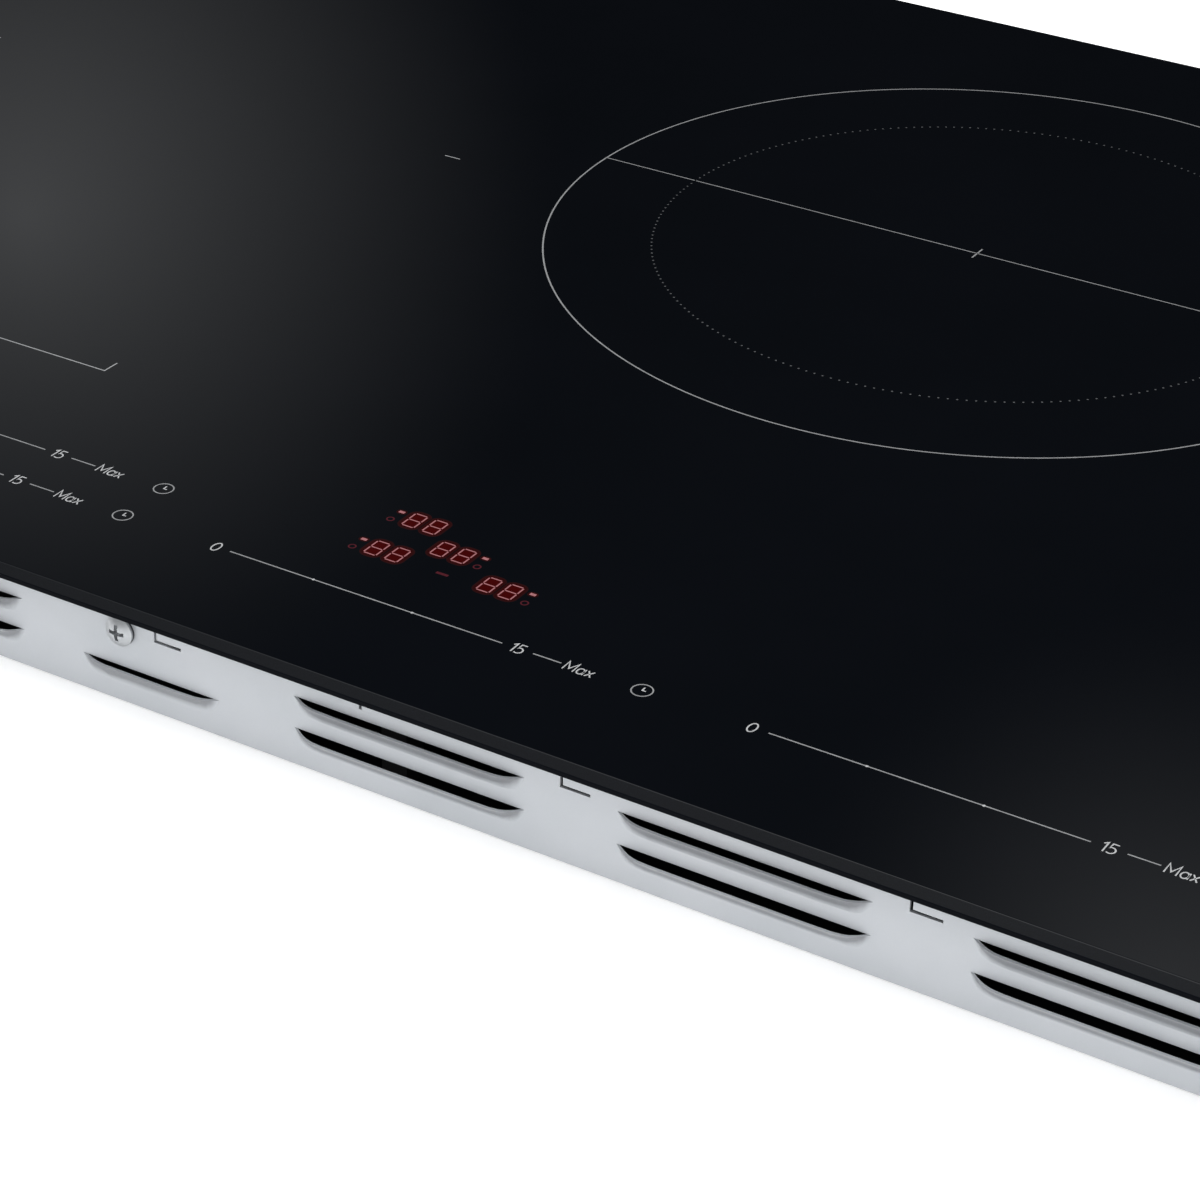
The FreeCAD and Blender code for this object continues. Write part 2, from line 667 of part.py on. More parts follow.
def build_clamps():
    """Four swinging clamps and the screws that they turn on."""
    screws = []
    for name, side, end in clamp_corners():
        x, y = pivot_x(side), pivot_y(end)
        reach = "(clamp_long - clamp_wide/2)"
        bar = middle_block(x, f"{y} - {end}*{reach}/2", "clamp_bottom",
                           "clamp_wide", reach, "clamp_thick")
        eye = disc(x, y, "clamp_bottom", "clamp_wide/2", "clamp_thick")
        tip = middle_block(x, f"{y} - {end}*({reach} - clamp_thick/2)", "clamp_bottom",
                           "clamp_wide", "clamp_thick", "clamp_thick + clamp_lip")
        hole = disc(x, y, "clamp_bottom - 1", "pivot_radius + pivot_play", "clamp_thick + 2")
        keep(cut(fuse([bar, eye, tip]), [hole]), f"clamp_{name}")
        screw = solid_feature("ClampScrew", pan_head_screw(
            size("pivot_head_radius"), size("pivot_head_tall"), size("pivot_radius"),
            size("pocket_tall") + size("sheet") + size("pivot_boss_tall") - size("clamp_bottom")))
        screw.Placement.Rotation = FreeCAD.Rotation(FreeCAD.Vector(1, 0, 0), 180)
        place(screw, x, y, "clamp_bottom - 0.05")
        screws.append(screw)
    keep(group(screws), "clamp_screws")


# ---------------------------------------------------------------- coils

def flex_centres():
    """Expressions for the middle of each oval coil of the flex zone."""
    return [f"flex_front + flex_coil_depth/2 + {number}*flex_pitch" for number in range(4)]


def oval_ring(x, y, z, width, depth, hole_width, hole_depth, height):
    """A flat racetrack ring: two half rounds joined by straights, with a racetrack hole."""
    def racetrack(long, across, low, tall):
        middle = middle_block(x, y, low, f"({long}) - ({across})", across, tall)
        ends = [disc(f"{x} + {sign}*(({long}) - ({across}))/2", y, low, f"({across})/2", tall)
                for sign in (-1, 1)]
        return fuse([middle] + ends)
    return cut(racetrack(width, depth, z, height),
               [racetrack(hole_width, hole_depth, f"{z} - 1", f"{height} + 2")])


def round_ring(x, y, z, outer, inner, height):
    """A flat round ring."""
    return cut(disc(x, y, z, outer, height), [disc(x, y, f"{z} - 1", inner, f"{height} + 2")])


def build_coils():
    """Litz windings of the four zones."""
    for number, y in enumerate(flex_centres(), start=1):
        keep(oval_ring("flex_x", y, COIL_Z, "flex_coil_width", "flex_coil_depth",
                       "flex_hole_width", "flex_hole_depth", "coil_thick"), f"flex_coil_{number}")
    keep(round_ring("middle_x", "middle_y", COIL_Z, "inner_ring - coil_gap", "coil_eye",
                    "coil_thick"), "middle_coil_inner")
    keep(round_ring("middle_x", "middle_y", COIL_Z, "outer_ring - coil_gap", "inner_ring",
                    "coil_thick"), "middle_coil_outer")
    keep(round_ring("right_x", "right_y", COIL_Z, "right_ring - coil_gap", "coil_eye",
                    "coil_thick"), "right_coil")


def build_formers():
    """Moulded carriers that the windings are laid in."""
    ovals = [oval_ring("flex_x", y, FORMER_Z, "flex_coil_width + 2", "flex_coil_depth + 2",
                       "3*eye_radius", "2*eye_radius", "former_thick") for y in flex_centres()]
    keep(group(ovals), "flex_coil_formers")
    keep(round_ring("middle_x", "middle_y", FORMER_Z, "outer_ring", "eye_radius",
                    "former_thick"), "middle_coil_former")
    keep(round_ring("right_x", "right_y", FORMER_Z, "right_ring", "eye_radius",
                    "former_thick"), "right_coil_former")


def build_ferrites():
    """Ferrite bars below the windings: radial under round coils, across under oval ones."""
    bars = []
    columns = int(size("bar_columns"))
    for y in flex_centres():
        for number in range(columns):
            for sign in (-1, 1):
                bars.append(middle_block(
                    f"flex_x + bar_pitch*({number} - {columns - 1}/2)", f"{y} + {sign}*bar_offset",
                    FERRITE_Z, "bar_width", "bar_long", "ferrite_thick"))
    for zone in ("middle", "right"):
        ring = "outer_ring" if zone == "middle" else "right_ring"
        count = int(size(f"{zone}_bars"))
        start = size("spoke_bar_start")
        width = size("spoke_bar_width")
        length = size(ring) - start - size("spoke_bar_end")
        for number in range(count):
            bar = Part.makeBox(length, width, size("ferrite_thick"),
                               FreeCAD.Vector(start, -width / 2, 0))
            bar.rotate(FreeCAD.Vector(0, 0, 0), UP, 360 * number / count)
            bars.append(place(solid_feature("Ferrite", bar), f"{zone}_x", f"{zone}_y", FERRITE_Z))
    keep(group(bars), "ferrite_bars")


def build_plates_and_mica():
    """Aluminium shield plates below the coils and mica sheets between coils and glass."""
    centres = flex_centres()
    flex_y = "flex_front + flex_coil_depth/2 + 3*flex_pitch/2"
    plates = [
        ("left", "flex_x", flex_y, "flex_plate_width", "flex_plate_depth",
         [("flex_x", y) for y in centres]),
        ("middle", "middle_x", "middle_y", "2*(outer_ring + plate_margin)",
         "2*(outer_ring + plate_margin)", [("middle_x", "middle_y")]),
        ("right", "right_x", "right_y", "2*(right_ring + plate_margin)",
         "2*(right_ring + plate_margin)", [("right_x", "right_y")]),
    ]
    for name, x, y, width, depth, holes in plates:
        plate = middle_block(x, y, PLATE_Z, width, depth, "plate_thick")
        eyes = [disc(hx, hy, f"{PLATE_Z} - 1", "eye_radius", "plate_thick + 2") for hx, hy in holes]
        keep(cut(plate, eyes), f"coil_plate_{name}")
        mica = middle_block(x, y, MICA_Z, f"{width} - plate_margin", f"{depth} - plate_margin",
                            "mica_thick")
        eyes = [disc(hx, hy, f"{MICA_Z} - 1", "sensor_radius + eye_play",
                     "mica_thick + 2")
                for hx, hy in holes]
        keep(cut(mica, eyes), f"mica_sheet_{name}")


def coil_eyes():
    """Middle of every coil that has a sensor."""
    eyes = [("flex_x", y) for y in flex_centres()]
    return eyes + [("middle_x", "middle_y"), ("right_x", "right_y")]


def build_sensors_and_leads():
    """Temperature sensors that touch the glass, and the coil leads down to the boards."""
    sensors = [disc(x, y, COIL_Z, "sensor_radius", "mica_thick + coil_thick") for x, y in coil_eyes()]
    keep(group(sensors), "temperature_sensors")
    leads = [disc(f"{x} + {sign}*lead_apart/2", y, BOARD_TOP, "lead_radius",
                  f"{COIL_Z} - ({BOARD_TOP})") for x, y in coil_eyes() for sign in (-1, 1)]
    keep(group(leads), "coil_leads")


def build_springs():
    """Coil springs between the case floor and the shield plates."""
    floor = size("sheet")
    stack = sum(size(name) for name in (
        "mica_thick", "coil_thick", "former_thick", "ferrite_thick", "plate_thick"))
    plate = size("case_wall") + size("flange_thick") + size("seal_thick") - stack
    wire = size("spring_wire")
    radius = size("spring_radius") - wire
    height = plate - floor - 2 * wire
    helix = Part.makeHelix(height / size("spring_turns"), height, radius)
    profile = Part.Wire([Part.makeCircle(
        wire, FreeCAD.Vector(radius, 0, 0), FreeCAD.Vector(0, 1, 0))])
    coil = Part.Wire(helix).makePipeShell([profile], True, True)
    springs = []
    for x, y in SPRING_PLACES:
        spring = solid_feature("Spring", coil)
        spring.Placement.Base = FreeCAD.Vector(x, y, floor + wire)
        springs.append(spring)
    keep(group(springs), "carrier_springs")


# ---------------------------------------------------------------- cooling

def build_fans():
    """Two flat fans: a square housing with motor and bearing, and a bladed rotor."""
    for name, side in (("left", -1), ("right", 1)):
        x = f"{side}*fan_x"
        box = middle_block(x, "fan_y", "sheet", "fan_side", "fan_side", "fan_tall")
        bore = disc(x, "fan_y", "sheet - 1", "fan_bore", "fan_tall + 2")
        holes = [disc(hole_x, hole_y, "sheet - 1", "floor_screw_radius", "fan_tall + 2")
                 for hole_x, hole_y in fan_screw_places() if hole_x.startswith(x)]
        base = disc(x, "fan_y", "sheet", "hub_radius", "motor_base")
        motor = disc(x, "fan_y", "sheet", "hub_radius - hub_wall - motor_gap", "motor_tall")
        across = "2*fan_bore + 2"
        arms = [middle_block(x, "fan_y", "sheet", across, "arm_width", "arm_thick"),
                middle_block(x, "fan_y", "sheet", "arm_width", across, "arm_thick")]
        housing = fuse([cut(box, [bore] + holes), base, motor] + arms)
        bearing = disc(x, "fan_y", "sheet + pin_rise - pin_top_gap", "fan_pin + fan_pin_play",
                       "fan_tall")
        keep(cut(housing, [bearing]), f"fan_housing_{name}")
        keep(fan_rotor(x), f"fan_rotor_{name}")


def fan_rotor(x):
    """Hub cup with twisted blades around it and a steel pin down its middle."""
    low = size("sheet") + size("rotor_rise")
    top = size("sheet") + size("fan_tall") - size("rotor_top_gap")
    pin_low = size("sheet") + size("pin_rise")
    hub = size("hub_radius")
    wall = size("hub_wall")
    thick = size("blade_thick")
    reach = size("blade_tip")
    count = int(size("blade_count"))
    tall = top - low
    cup = Part.makeCylinder(hub, tall, FreeCAD.Vector(0, 0, low))
    cup = cup.cut(Part.makeCylinder(hub - wall, tall - wall, FreeCAD.Vector(0, 0, low)))
    pin = Part.makeCylinder(size("fan_pin"), top - size("pin_top_gap") - pin_low,
                            FreeCAD.Vector(0, 0, pin_low))
    shape = cup.fuse(pin)
    chord = (tall - 1) / math.sin(math.radians(size("blade_pitch")))
    for number in range(count):
        blade = Part.makeBox(reach - hub + wall / 2, chord, thick,
                             FreeCAD.Vector(hub - wall / 2, -chord / 2, -thick / 2))
        blade.rotate(FreeCAD.Vector(0, 0, 0), FreeCAD.Vector(1, 0, 0), size("blade_pitch"))
        blade.translate(FreeCAD.Vector(0, 0, (low + top) / 2))
        blade.rotate(FreeCAD.Vector(0, 0, 0), UP, 360 * number / count)
        shape = shape.fuse(blade)
    envelope = Part.makeCylinder(reach, tall, FreeCAD.Vector(0, 0, low))
    envelope = envelope.fuse(Part.makeCylinder(size("fan_pin"), top))
    return place(solid_feature("FanRotor", shape.common(envelope)), x, "fan_y", 0)


# ---------------------------------------------------------------- electronics

def build_power_side(name, side):
    """One power board with its heat sink and the air duct over it."""
    board = middle_block(f"{side}*board_x", "board_front + board_depth/2", "board_bottom",
                         "board_width", "board_depth", "board_thick")
    keep(board, f"power_board_{name}")
    x = f"{side}*sink_x"
    y = "sink_front + sink_depth/2"
    base = middle_block(x, y, BOARD_TOP, "sink_width", "sink_depth", "sink_base")
    fins = [middle_block(f"{x} + ({number} - (fin_count - 1)/2)*(sink_width - fin_thick)/(fin_count - 1)",
                         y, BOARD_TOP, "fin_thick", "sink_depth", "sink_tall")
            for number in range(int(size("fin_count")))]
    keep(fuse([base] + fins), f"heat_sink_{name}")
    outer = middle_block(f"{side}*duct_x", y, BOARD_TOP, "duct_width",
                         "sink_depth + 2*duct_beyond", f"duct_top - ({BOARD_TOP})")
    inner = middle_block(f"{side}*duct_x", y, f"{BOARD_TOP} - 1", "duct_width - 2*duct_wall",
                         "sink_depth + 2*duct_beyond + 2",
                         f"duct_top - duct_wall + 1 - ({BOARD_TOP})")
    keep(cut(outer, [inner]), f"air_duct_{name}")


def build_row(name, x, first, pitch, count):
    """Devices of one kind in a row along Y, with their sizes found by their name."""
    return [middle_block(x, f"{first} + {number}*({pitch})", BOARD_TOP,
                         f"{name}_width", f"{name}_depth", f"{name}_tall")
            for number in range(count)]


def build_devices(side):
    """Transistors, rectifier and capacitors of one power board."""
    beside_sink = f"{side}*(sink_x - sink_width/2 - device_gap)"
    transistors = [middle_block(beside_sink, f"transistor_first + {number}*transistor_pitch",
                                BOARD_TOP, "device_thick", "transistor_width", "device_tall")
                   for number in range(int(size("transistor_count")))]
    rectifier = middle_block(beside_sink, "rectifier_y", BOARD_TOP,
                             "device_thick", "rectifier_width", "device_tall")
    tank = build_row("tank", f"{side}*tank_x", "tank_first", "tank_pitch", int(size("tank_count")))
    bus = build_row("bus", f"{side}*bus_x", "bus_y", "0", 1)
    return {"power_transistors": transistors, "bridge_rectifiers": [rectifier],
            "resonance_capacitors": tank, "bus_capacitors": bus}


def build_electronics():
    """Boards, power devices, capacitors and the mains filter."""
    devices = {}
    for name, side in (("left", -1), ("right", 1)):
        build_power_side(name, side)
        for label, items in build_devices(side).items():
            devices.setdefault(label, []).extend(items)
    for label, items in devices.items():
        keep(group(items), label)
    board = middle_block("filter_x", "filter_front + filter_depth/2", "board_bottom",
                         "filter_width", "filter_depth", "board_thick")
    keep(board, "filter_board")
    standoffs = [cut(disc(x, y, "sheet", "standoff_radius", "board_bottom - sheet"),
                     [disc(x, y, 0, "floor_screw_radius", "board_bottom - 1")])
                 for x, y in standoff_places()]
    keep(group(standoffs), "board_standoffs")


def build_filter_parts():
    """Ring chokes, relays, terminal block and earth stud beside the mains inlet."""
    chokes = []
    for x in CHOKES_X:
        ring = doc.addObject("Part::Torus", "Choke")
        bind(ring, Radius1="choke_ring", Radius2="choke_section")
        chokes.append(place(ring, x, "choke_y", f"{BOARD_TOP} + choke_section"))
    keep(group(chokes), "filter_chokes")
    relays = [middle_block(x, "relay_y", BOARD_TOP, "relay_width", "relay_depth", "relay_tall")
              for x in RELAYS_X]
    keep(group(relays), "mains_relays")
    body = middle_block("terminal_x", "terminal_y", "sheet",
                        "terminal_width", "terminal_depth", "terminal_tall")
    wells = []
    screws = []
    count = int(size("terminal_count"))
    for number in range(count):
        x = f"terminal_x + terminal_pitch*({number} - {count - 1}/2)"
        wells.append(disc(x, "terminal_y", "terminal_floor", "terminal_well", "terminal_tall"))
        wells.append(middle_block(x, "wire_y", "wire_z", "wire_width", "wire_depth", "wire_tall"))
        screws.append(disc(x, "terminal_y", "terminal_floor", "terminal_screw",
                           "terminal_screw_tall"))
    keep(cut(body, wells), "terminal_block")
    keep(group(screws), "terminal_screws")
    stud = disc("earth_x", "earth_y", "sheet", "earth_radius", "earth_tall")
    nut = disc("earth_x", "earth_y", "sheet", "nut_radius", "nut_tall")
    keep(fuse([stud, nut]), "earth_stud")


def build_inlet():
    """Rubber grommet in the back wall with the bore for the mains cable."""
    lip = size("inlet_lip")
    wall = size("sheet")
    shape = Part.makeCylinder(size("inlet_flange"), lip, FreeCAD.Vector(0, 0, -lip))
    shape = shape.fuse(Part.makeCylinder(size("inlet_hole"), wall))
    shape = shape.fuse(Part.makeCylinder(size("inlet_flange"), lip, FreeCAD.Vector(0, 0, wall)))
    shape = shape.cut(Part.makeCylinder(size("inlet_bore"), 4 * lip, FreeCAD.Vector(0, 0, -2 * lip)))
    grommet = solid_feature("Grommet", shape.removeSplitter())
    on_wall(grommet, BACK, -size("inlet_x"), size("inlet_z"))
    grommet.Placement.Rotation = grommet.Placement.Rotation.multiply(
        FreeCAD.Rotation(FreeCAD.Vector(1, 0, 0), -90))
    keep(grommet, "inlet_grommet")


def build_control():
    """Control strip: moulded holder, board, displays and touch pads below the glass."""
    y = "control_front + control_depth/2"
    shell = middle_block(0, y, "control_bottom", "control_width", "control_depth", "control_rim")
    well = middle_block(0, y, "control_bottom + control_wall", "control_width - 2*control_wall",
                        "control_depth - 2*control_wall", "control_rim")
    ledges = [middle_block(x, y, "control_bottom", "ledge_width", "control_depth",
                           "control_board_bottom - control_bottom") for x in LEDGES_X]
    legs = [middle_block(x, f"{y} + {end}*(control_depth/2 - leg_inset)", "sheet",
                         "leg_side", "leg_side", "control_bottom - sheet")
            for x in LEGS_X for end in (-1, 1)]
    keep(fuse([cut(shell, [well])] + ledges + legs), "control_holder")
    board = middle_block(0, y, "control_board_bottom", "control_width - 2*control_wall - 1",
                         "control_depth - 2*control_wall - 1", "board_thick")
    keep(board, "control_board")
    top = "control_board_bottom + board_thick"
    rise = f"{GLASS_Z} - ({top})"
    displays = [middle_block(x, led_y, top, "led_width", "led_depth", rise)
                for x, led_y in LED_PLACES]
    keep(group(displays), "led_displays")
    pads = []
    rows = [(-1, "slider_y"), (0, "slider_y"), (1, "slider_y"), (-1, "rear_slider_y")]
    for column, row_y in rows:
        for number in range(int(size("pad_count"))):
            x = f"{column}*slider_pitch + pad_first + {number}*pad_pitch"
            pads.append(middle_block(x, row_y, top, "pad_width", "pad_depth", rise))
        pads.append(disc(f"{column}*slider_pitch + timer_offset", row_y, top, "timer_radius", rise))
    keep(group(pads), "touch_pads")


# ---------------------------------------------------------------- whole cooktop

def check_document():
    """Stop if any object failed or any kept piece has no valid shape."""
    doc.recompute()
    for item in doc.Objects:
        if "Invalid" in item.State or "Error" in item.State:
            raise RuntimeError(f"{item.Name} failed: {item.State}")
    for item in kept:
        if item.Shape.isNull() or not item.Shape.isValid() or not item.Shape.Solids:
            raise RuntimeError(f"{item.Label} has no valid shape")


def export_parts():
    """Write each sub-part to its own file."""
    os.makedirs("parts", exist_ok=True)
    for item in kept:
        item.Shape.exportStep(f"parts/{item.Label}.step")
        print(f"{item.Label}: {len(item.Shape.Solids)} solids, {item.Shape.Volume:.1f} mm3")


fill_sheet()
build_glass()
build_rings()
build_frame()
build_frame_screws()
build_case()
build_floor_screws()
build_clamps()
build_coils()
build_formers()
build_ferrites()
build_plates_and_mica()
build_sensors_and_leads()
build_springs()
build_fans()
build_electronics()
build_filter_parts()
build_inlet()
build_control()
check_document()
export_parts()
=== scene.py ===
"""Looks of a built-in induction cooktop: glass, printed marks, lit digits and finishes."""
import json
import math

import bpy
from mathutils import Matrix, Vector


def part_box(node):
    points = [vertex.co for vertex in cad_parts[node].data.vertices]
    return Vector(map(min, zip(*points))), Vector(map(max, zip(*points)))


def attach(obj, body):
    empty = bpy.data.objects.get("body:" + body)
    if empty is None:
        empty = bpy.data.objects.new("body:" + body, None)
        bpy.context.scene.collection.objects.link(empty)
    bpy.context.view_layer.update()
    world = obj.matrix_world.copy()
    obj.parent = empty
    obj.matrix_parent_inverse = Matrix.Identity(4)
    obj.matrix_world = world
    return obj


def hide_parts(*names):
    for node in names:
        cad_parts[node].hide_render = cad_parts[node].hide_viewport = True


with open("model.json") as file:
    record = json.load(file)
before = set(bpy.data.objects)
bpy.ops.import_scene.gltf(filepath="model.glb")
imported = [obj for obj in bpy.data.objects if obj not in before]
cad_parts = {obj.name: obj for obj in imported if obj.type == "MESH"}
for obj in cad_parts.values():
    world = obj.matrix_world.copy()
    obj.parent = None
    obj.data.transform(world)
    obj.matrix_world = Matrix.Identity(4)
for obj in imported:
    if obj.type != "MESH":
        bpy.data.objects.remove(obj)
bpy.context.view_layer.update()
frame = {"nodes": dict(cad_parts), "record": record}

MM = 0.001
NODES = frame["nodes"]
GLASS_LOW, GLASS_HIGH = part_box("glass_top")
CASE_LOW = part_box("case_tray")[0]
CASE_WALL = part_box("glass_frame")[1]          # outer faces of the case walls, in x and in y

# ---------------------------------------------------------------- places and sizes, metres

PRINT_TALL = 0.02 * MM             # thickness of the printed enamel
GLASS_TOP = GLASS_HIGH.z - PRINT_TALL
PRINT_LINE = 0.42 * MM             # width of most printed lines
FRONT_EDGE = GLASS_LOW.y
BEVEL_RUN = 1.7 * MM               # bevel of the glass edge, seen from above
BEVEL_DROP = 2.8 * MM
ARRIS_RADIUS = 0.4 * MM            # rounding between the top face and the bevel
RIM_RADIUS = 0.6 * MM              # rounding between the bevel and the upright edge
CORNER_RADIUS = 4 * MM
CORNER_STEPS = 10
INSIDE_DEPTH = 0.75 * MM           # just short of the thickness of the case walls
FLOOR_MIDDLE = 0.3 * MM            # between the underside and the top face of the case floor
FLOOR_RIBS = 2 * MM                # top of the ribs of the case floor, with a little room
POCKET_PLACE = 150 * MM            # recesses for the clamps: middle, half length, depth, height
POCKET_HALF = 28.4 * MM
POCKET_DEEP = 18.4 * MM
POCKET_TALL = 16.4 * MM
LIP_ROOT = (0.02 * MM, 1.0 * MM)   # how far out of the wall a louvre turns dark with painted shadow
LIP_EDGE = (1.8 * MM, 3.0 * MM)    # and where it turns paler again
WALL_SHADED = (4 * MM, 36 * MM)    # painted shade: the wall turns darker between these, towards the glass
SCREW_FOOT_SHADOW = (0.9 * MM, 0.3 * MM)  # painted contact shadow: a screw head turns dark between these, towards the wall
MITRE_LIMIT = 0.4                  # keeps the corners of a line from growing into spikes

CAMERA_AZIMUTH = 30.93             # degrees, 0 looks along +Y
CAMERA_ELEVATION = 30.42
CAMERA_ROLL = 1.17
CAMERA_SENSOR = 36                 # millimetres, as is the lens
CAMERA_LENS = 103.1
CAMERA_TARGET = Vector((0.0347, -0.1873, GLASS_HIGH.z))
CAMERA_DISTANCE = 0.9131


# ---------------------------------------------------------------- material helpers

NOISE_RANGE = (0.3, 0.7)           # nearly all values of a noise lie between these
CLOUD_SIZE = 0.15                  # waves of the colour, as a share of the waves of the gloss
UNEVEN = 0.15                      # share by which the gloss varies


def new_material(name):
    """An empty node material and its shader."""
    material = bpy.data.materials.new(name)
    material.use_nodes = True
    shader = material.node_tree.nodes["Principled BSDF"]
    return material, material.node_tree, shader


def noise(tree, scale, detail=3.0, roughness=0.55, stretch=None):
    """Noise in object space, with the scale in waves per metre."""
    coordinates = tree.nodes.new("ShaderNodeTexCoord")
    source = coordinates.outputs["Object"]
    if stretch:
        mapping = tree.nodes.new("ShaderNodeMapping")
        mapping.inputs["Scale"].default_value = stretch
        tree.links.new(source, mapping.inputs["Vector"])
        source = mapping.outputs["Vector"]
    texture = tree.nodes.new("ShaderNodeTexNoise")
    texture.inputs["Scale"].default_value = scale
    texture.inputs["Detail"].default_value = detail
    texture.inputs["Roughness"].default_value = roughness
    tree.links.new(source, texture.inputs["Vector"])
    return texture.outputs["Fac"]


def ramp(tree, source, low, high):
    """Map the middle of a noise onto a range between two colours."""
    node = tree.nodes.new("ShaderNodeValToRGB")
    for element, place, color in zip(node.color_ramp.elements, NOISE_RANGE, (low, high)):
        element.position = place
        element.color = (*color, 1)
    tree.links.new(source, node.inputs["Fac"])
    return node.outputs["Color"]


def spread(tree, source, low, high):
    """Map the middle of a noise onto a range of values."""
    node = tree.nodes.new("ShaderNodeMapRange")
    node.inputs["From Min"].default_value = NOISE_RANGE[0]
    node.inputs["From Max"].default_value = NOISE_RANGE[1]
    node.inputs["To Min"].default_value = low
    node.inputs["To Max"].default_value = high
    tree.links.new(source, node.inputs["Value"])
    return node.outputs["Result"]


def mix(tree, share, first, second):
    """A blend of two colours or sockets by a share."""
    node = tree.nodes.new("ShaderNodeMix")
    node.data_type = "RGBA"
    tree.links.new(share, node.inputs["Factor"])
    for label, value in (("A", first), ("B", second)):
        socket = next(s for s in node.inputs if s.name == label and s.type == "RGBA")
        if isinstance(value, tuple):
            socket.default_value = (*value, 1)
        else:
            tree.links.new(value, socket)
    return next(s for s in node.outputs if s.type == "RGBA")


def arithmetic(tree, operation, first, second=0.0):
    """One operation on two numbers or sockets."""
    node = tree.nodes.new("ShaderNodeMath")
    node.operation = operation
    for index, value in enumerate((first, second)):
        if isinstance(value, (int, float)):
            node.inputs[index].default_value = value
        else:
            tree.links.new(value, node.inputs[index])
    return node.outputs[0]


def product(tree, first, *others):
    """The product of two or more numbers or sockets."""
    for other in others:
        first = arithmetic(tree, "MULTIPLY", first, other)
    return first


def lowered(tree, level, share, drop):
    """A level that a share of 1 brings down by the drop."""
    return arithmetic(tree, "SUBTRACT", level, product(tree, share, drop))


def smooth_step(tree, source, start, stop):
    """A share that rises smoothly from 0 at the start to 1 at the stop."""
    node = tree.nodes.new("ShaderNodeMapRange")
    node.interpolation_type = "SMOOTHSTEP"
    node.inputs["From Min"].default_value = start
    node.inputs["From Max"].default_value = stop
    tree.links.new(source, node.inputs["Value"])
    return node.outputs["Result"]


def split_vector(tree, source):
    """The x, y and z of a vector socket."""
    split = tree.nodes.new("ShaderNodeSeparateXYZ")
    tree.links.new(source, split.inputs[0])
    return split.outputs


def place_of(tree):
    """The x, y and z of a shaded point in its object's own frame."""
    return split_vector(tree, tree.nodes.new("ShaderNodeTexCoord").outputs["Object"])


def beyond_walls(tree, x, y):
    """How far a point lies outside the side walls and outside the front and back walls."""
    return [arithmetic(tree, "SUBTRACT", arithmetic(tree, "ABSOLUTE", axis), half)
            for axis, half in ((x, CASE_WALL.x), (y, CASE_WALL.y))]


def bump(tree, shader, source, depth):
    """Bump of a depth in metres."""
    node = tree.nodes.new("ShaderNodeBump")
    node.inputs["Strength"].default_value = 1.0
    node.inputs["Distance"].default_value = depth
    tree.links.new(source, node.inputs["Height"])
    tree.links.new(node.outputs["Normal"], shader.inputs["Normal"])


def shade(value, factor):
    """A colour made lighter or darker."""
    return tuple(min(1.0, channel * factor) for channel in value)


def plain(name, color, roughness, metallic=0.0, vary=0.08, grain=400.0, depth=0.00001,
          stretch=None):
    """A finish with cloudy colour, uneven gloss and a fine bump."""
    material, tree, shader = new_material(name)
    shader.inputs["Metallic"].default_value = metallic
    cloud = noise(tree, grain * CLOUD_SIZE, stretch=stretch)
    tree.links.new(ramp(tree, cloud, shade(color, 1 - vary), shade(color, 1 + vary)),
                   shader.inputs["Base Color"])
    fine = noise(tree, grain, stretch=stretch)
    tree.links.new(spread(tree, fine, roughness * (1 - UNEVEN), roughness * (1 + UNEVEN)),
                   shader.inputs["Roughness"])
    bump(tree, shader, fine, depth)
    return material


def enamel(name, color):
    """Fired ceramic print, uneven along its length."""
    return plain(name, color, 0.5, vary=0.12, grain=2500, depth=0.000003)


def glass_material():
    """Polished black glass-ceramic with faint unevenness in its gloss and a ground edge."""
    material, tree, shader = new_material("black_glass_ceramic")
    cloud = noise(tree, 14.0)
    tree.links.new(ramp(tree, cloud, (0.0019, 0.0024, 0.0034), (0.0022, 0.0027, 0.0039)),
                   shader.inputs["Base Color"])
    fine = noise(tree, 900.0, detail=2.0)
    shader.inputs["IOR"].default_value = 1.5
    rim = GLASS_TOP - BEVEL_DROP + 0.25 * MM      # the upright edge and its rounding lie below
    upright = arithmetic(tree, "LESS_THAN", place_of(tree)["Z"], rim)
    rough = arithmetic(tree, "ADD", spread(tree, fine, 0.025, 0.040), product(tree, upright, 0.5))
    tree.links.new(rough, shader.inputs["Roughness"])
    tree.links.new(lowered(tree, 0.5, upright, 0.48), shader.inputs["Specular IOR Level"])
    bump(tree, shader, noise(tree, 60.0, detail=1.0), 0.0000004)
    return material


def lit_material(name, color):
    """Light from a display, a little uneven, under its dark window."""
    material = plain(name, (0.01, 0.001, 0.001), 0.15, grain=1500, depth=0.000002)
    tree = material.node_tree
    shader = tree.nodes["Principled BSDF"]
    shader.inputs["Specular IOR Level"].default_value = 0.1
    cloud = noise(tree, 1500.0)
    tree.links.new(ramp(tree, cloud, shade(color, 0.75), color), shader.inputs["Emission Color"])
    shader.inputs["Emission Strength"].default_value = 1.0
    return material


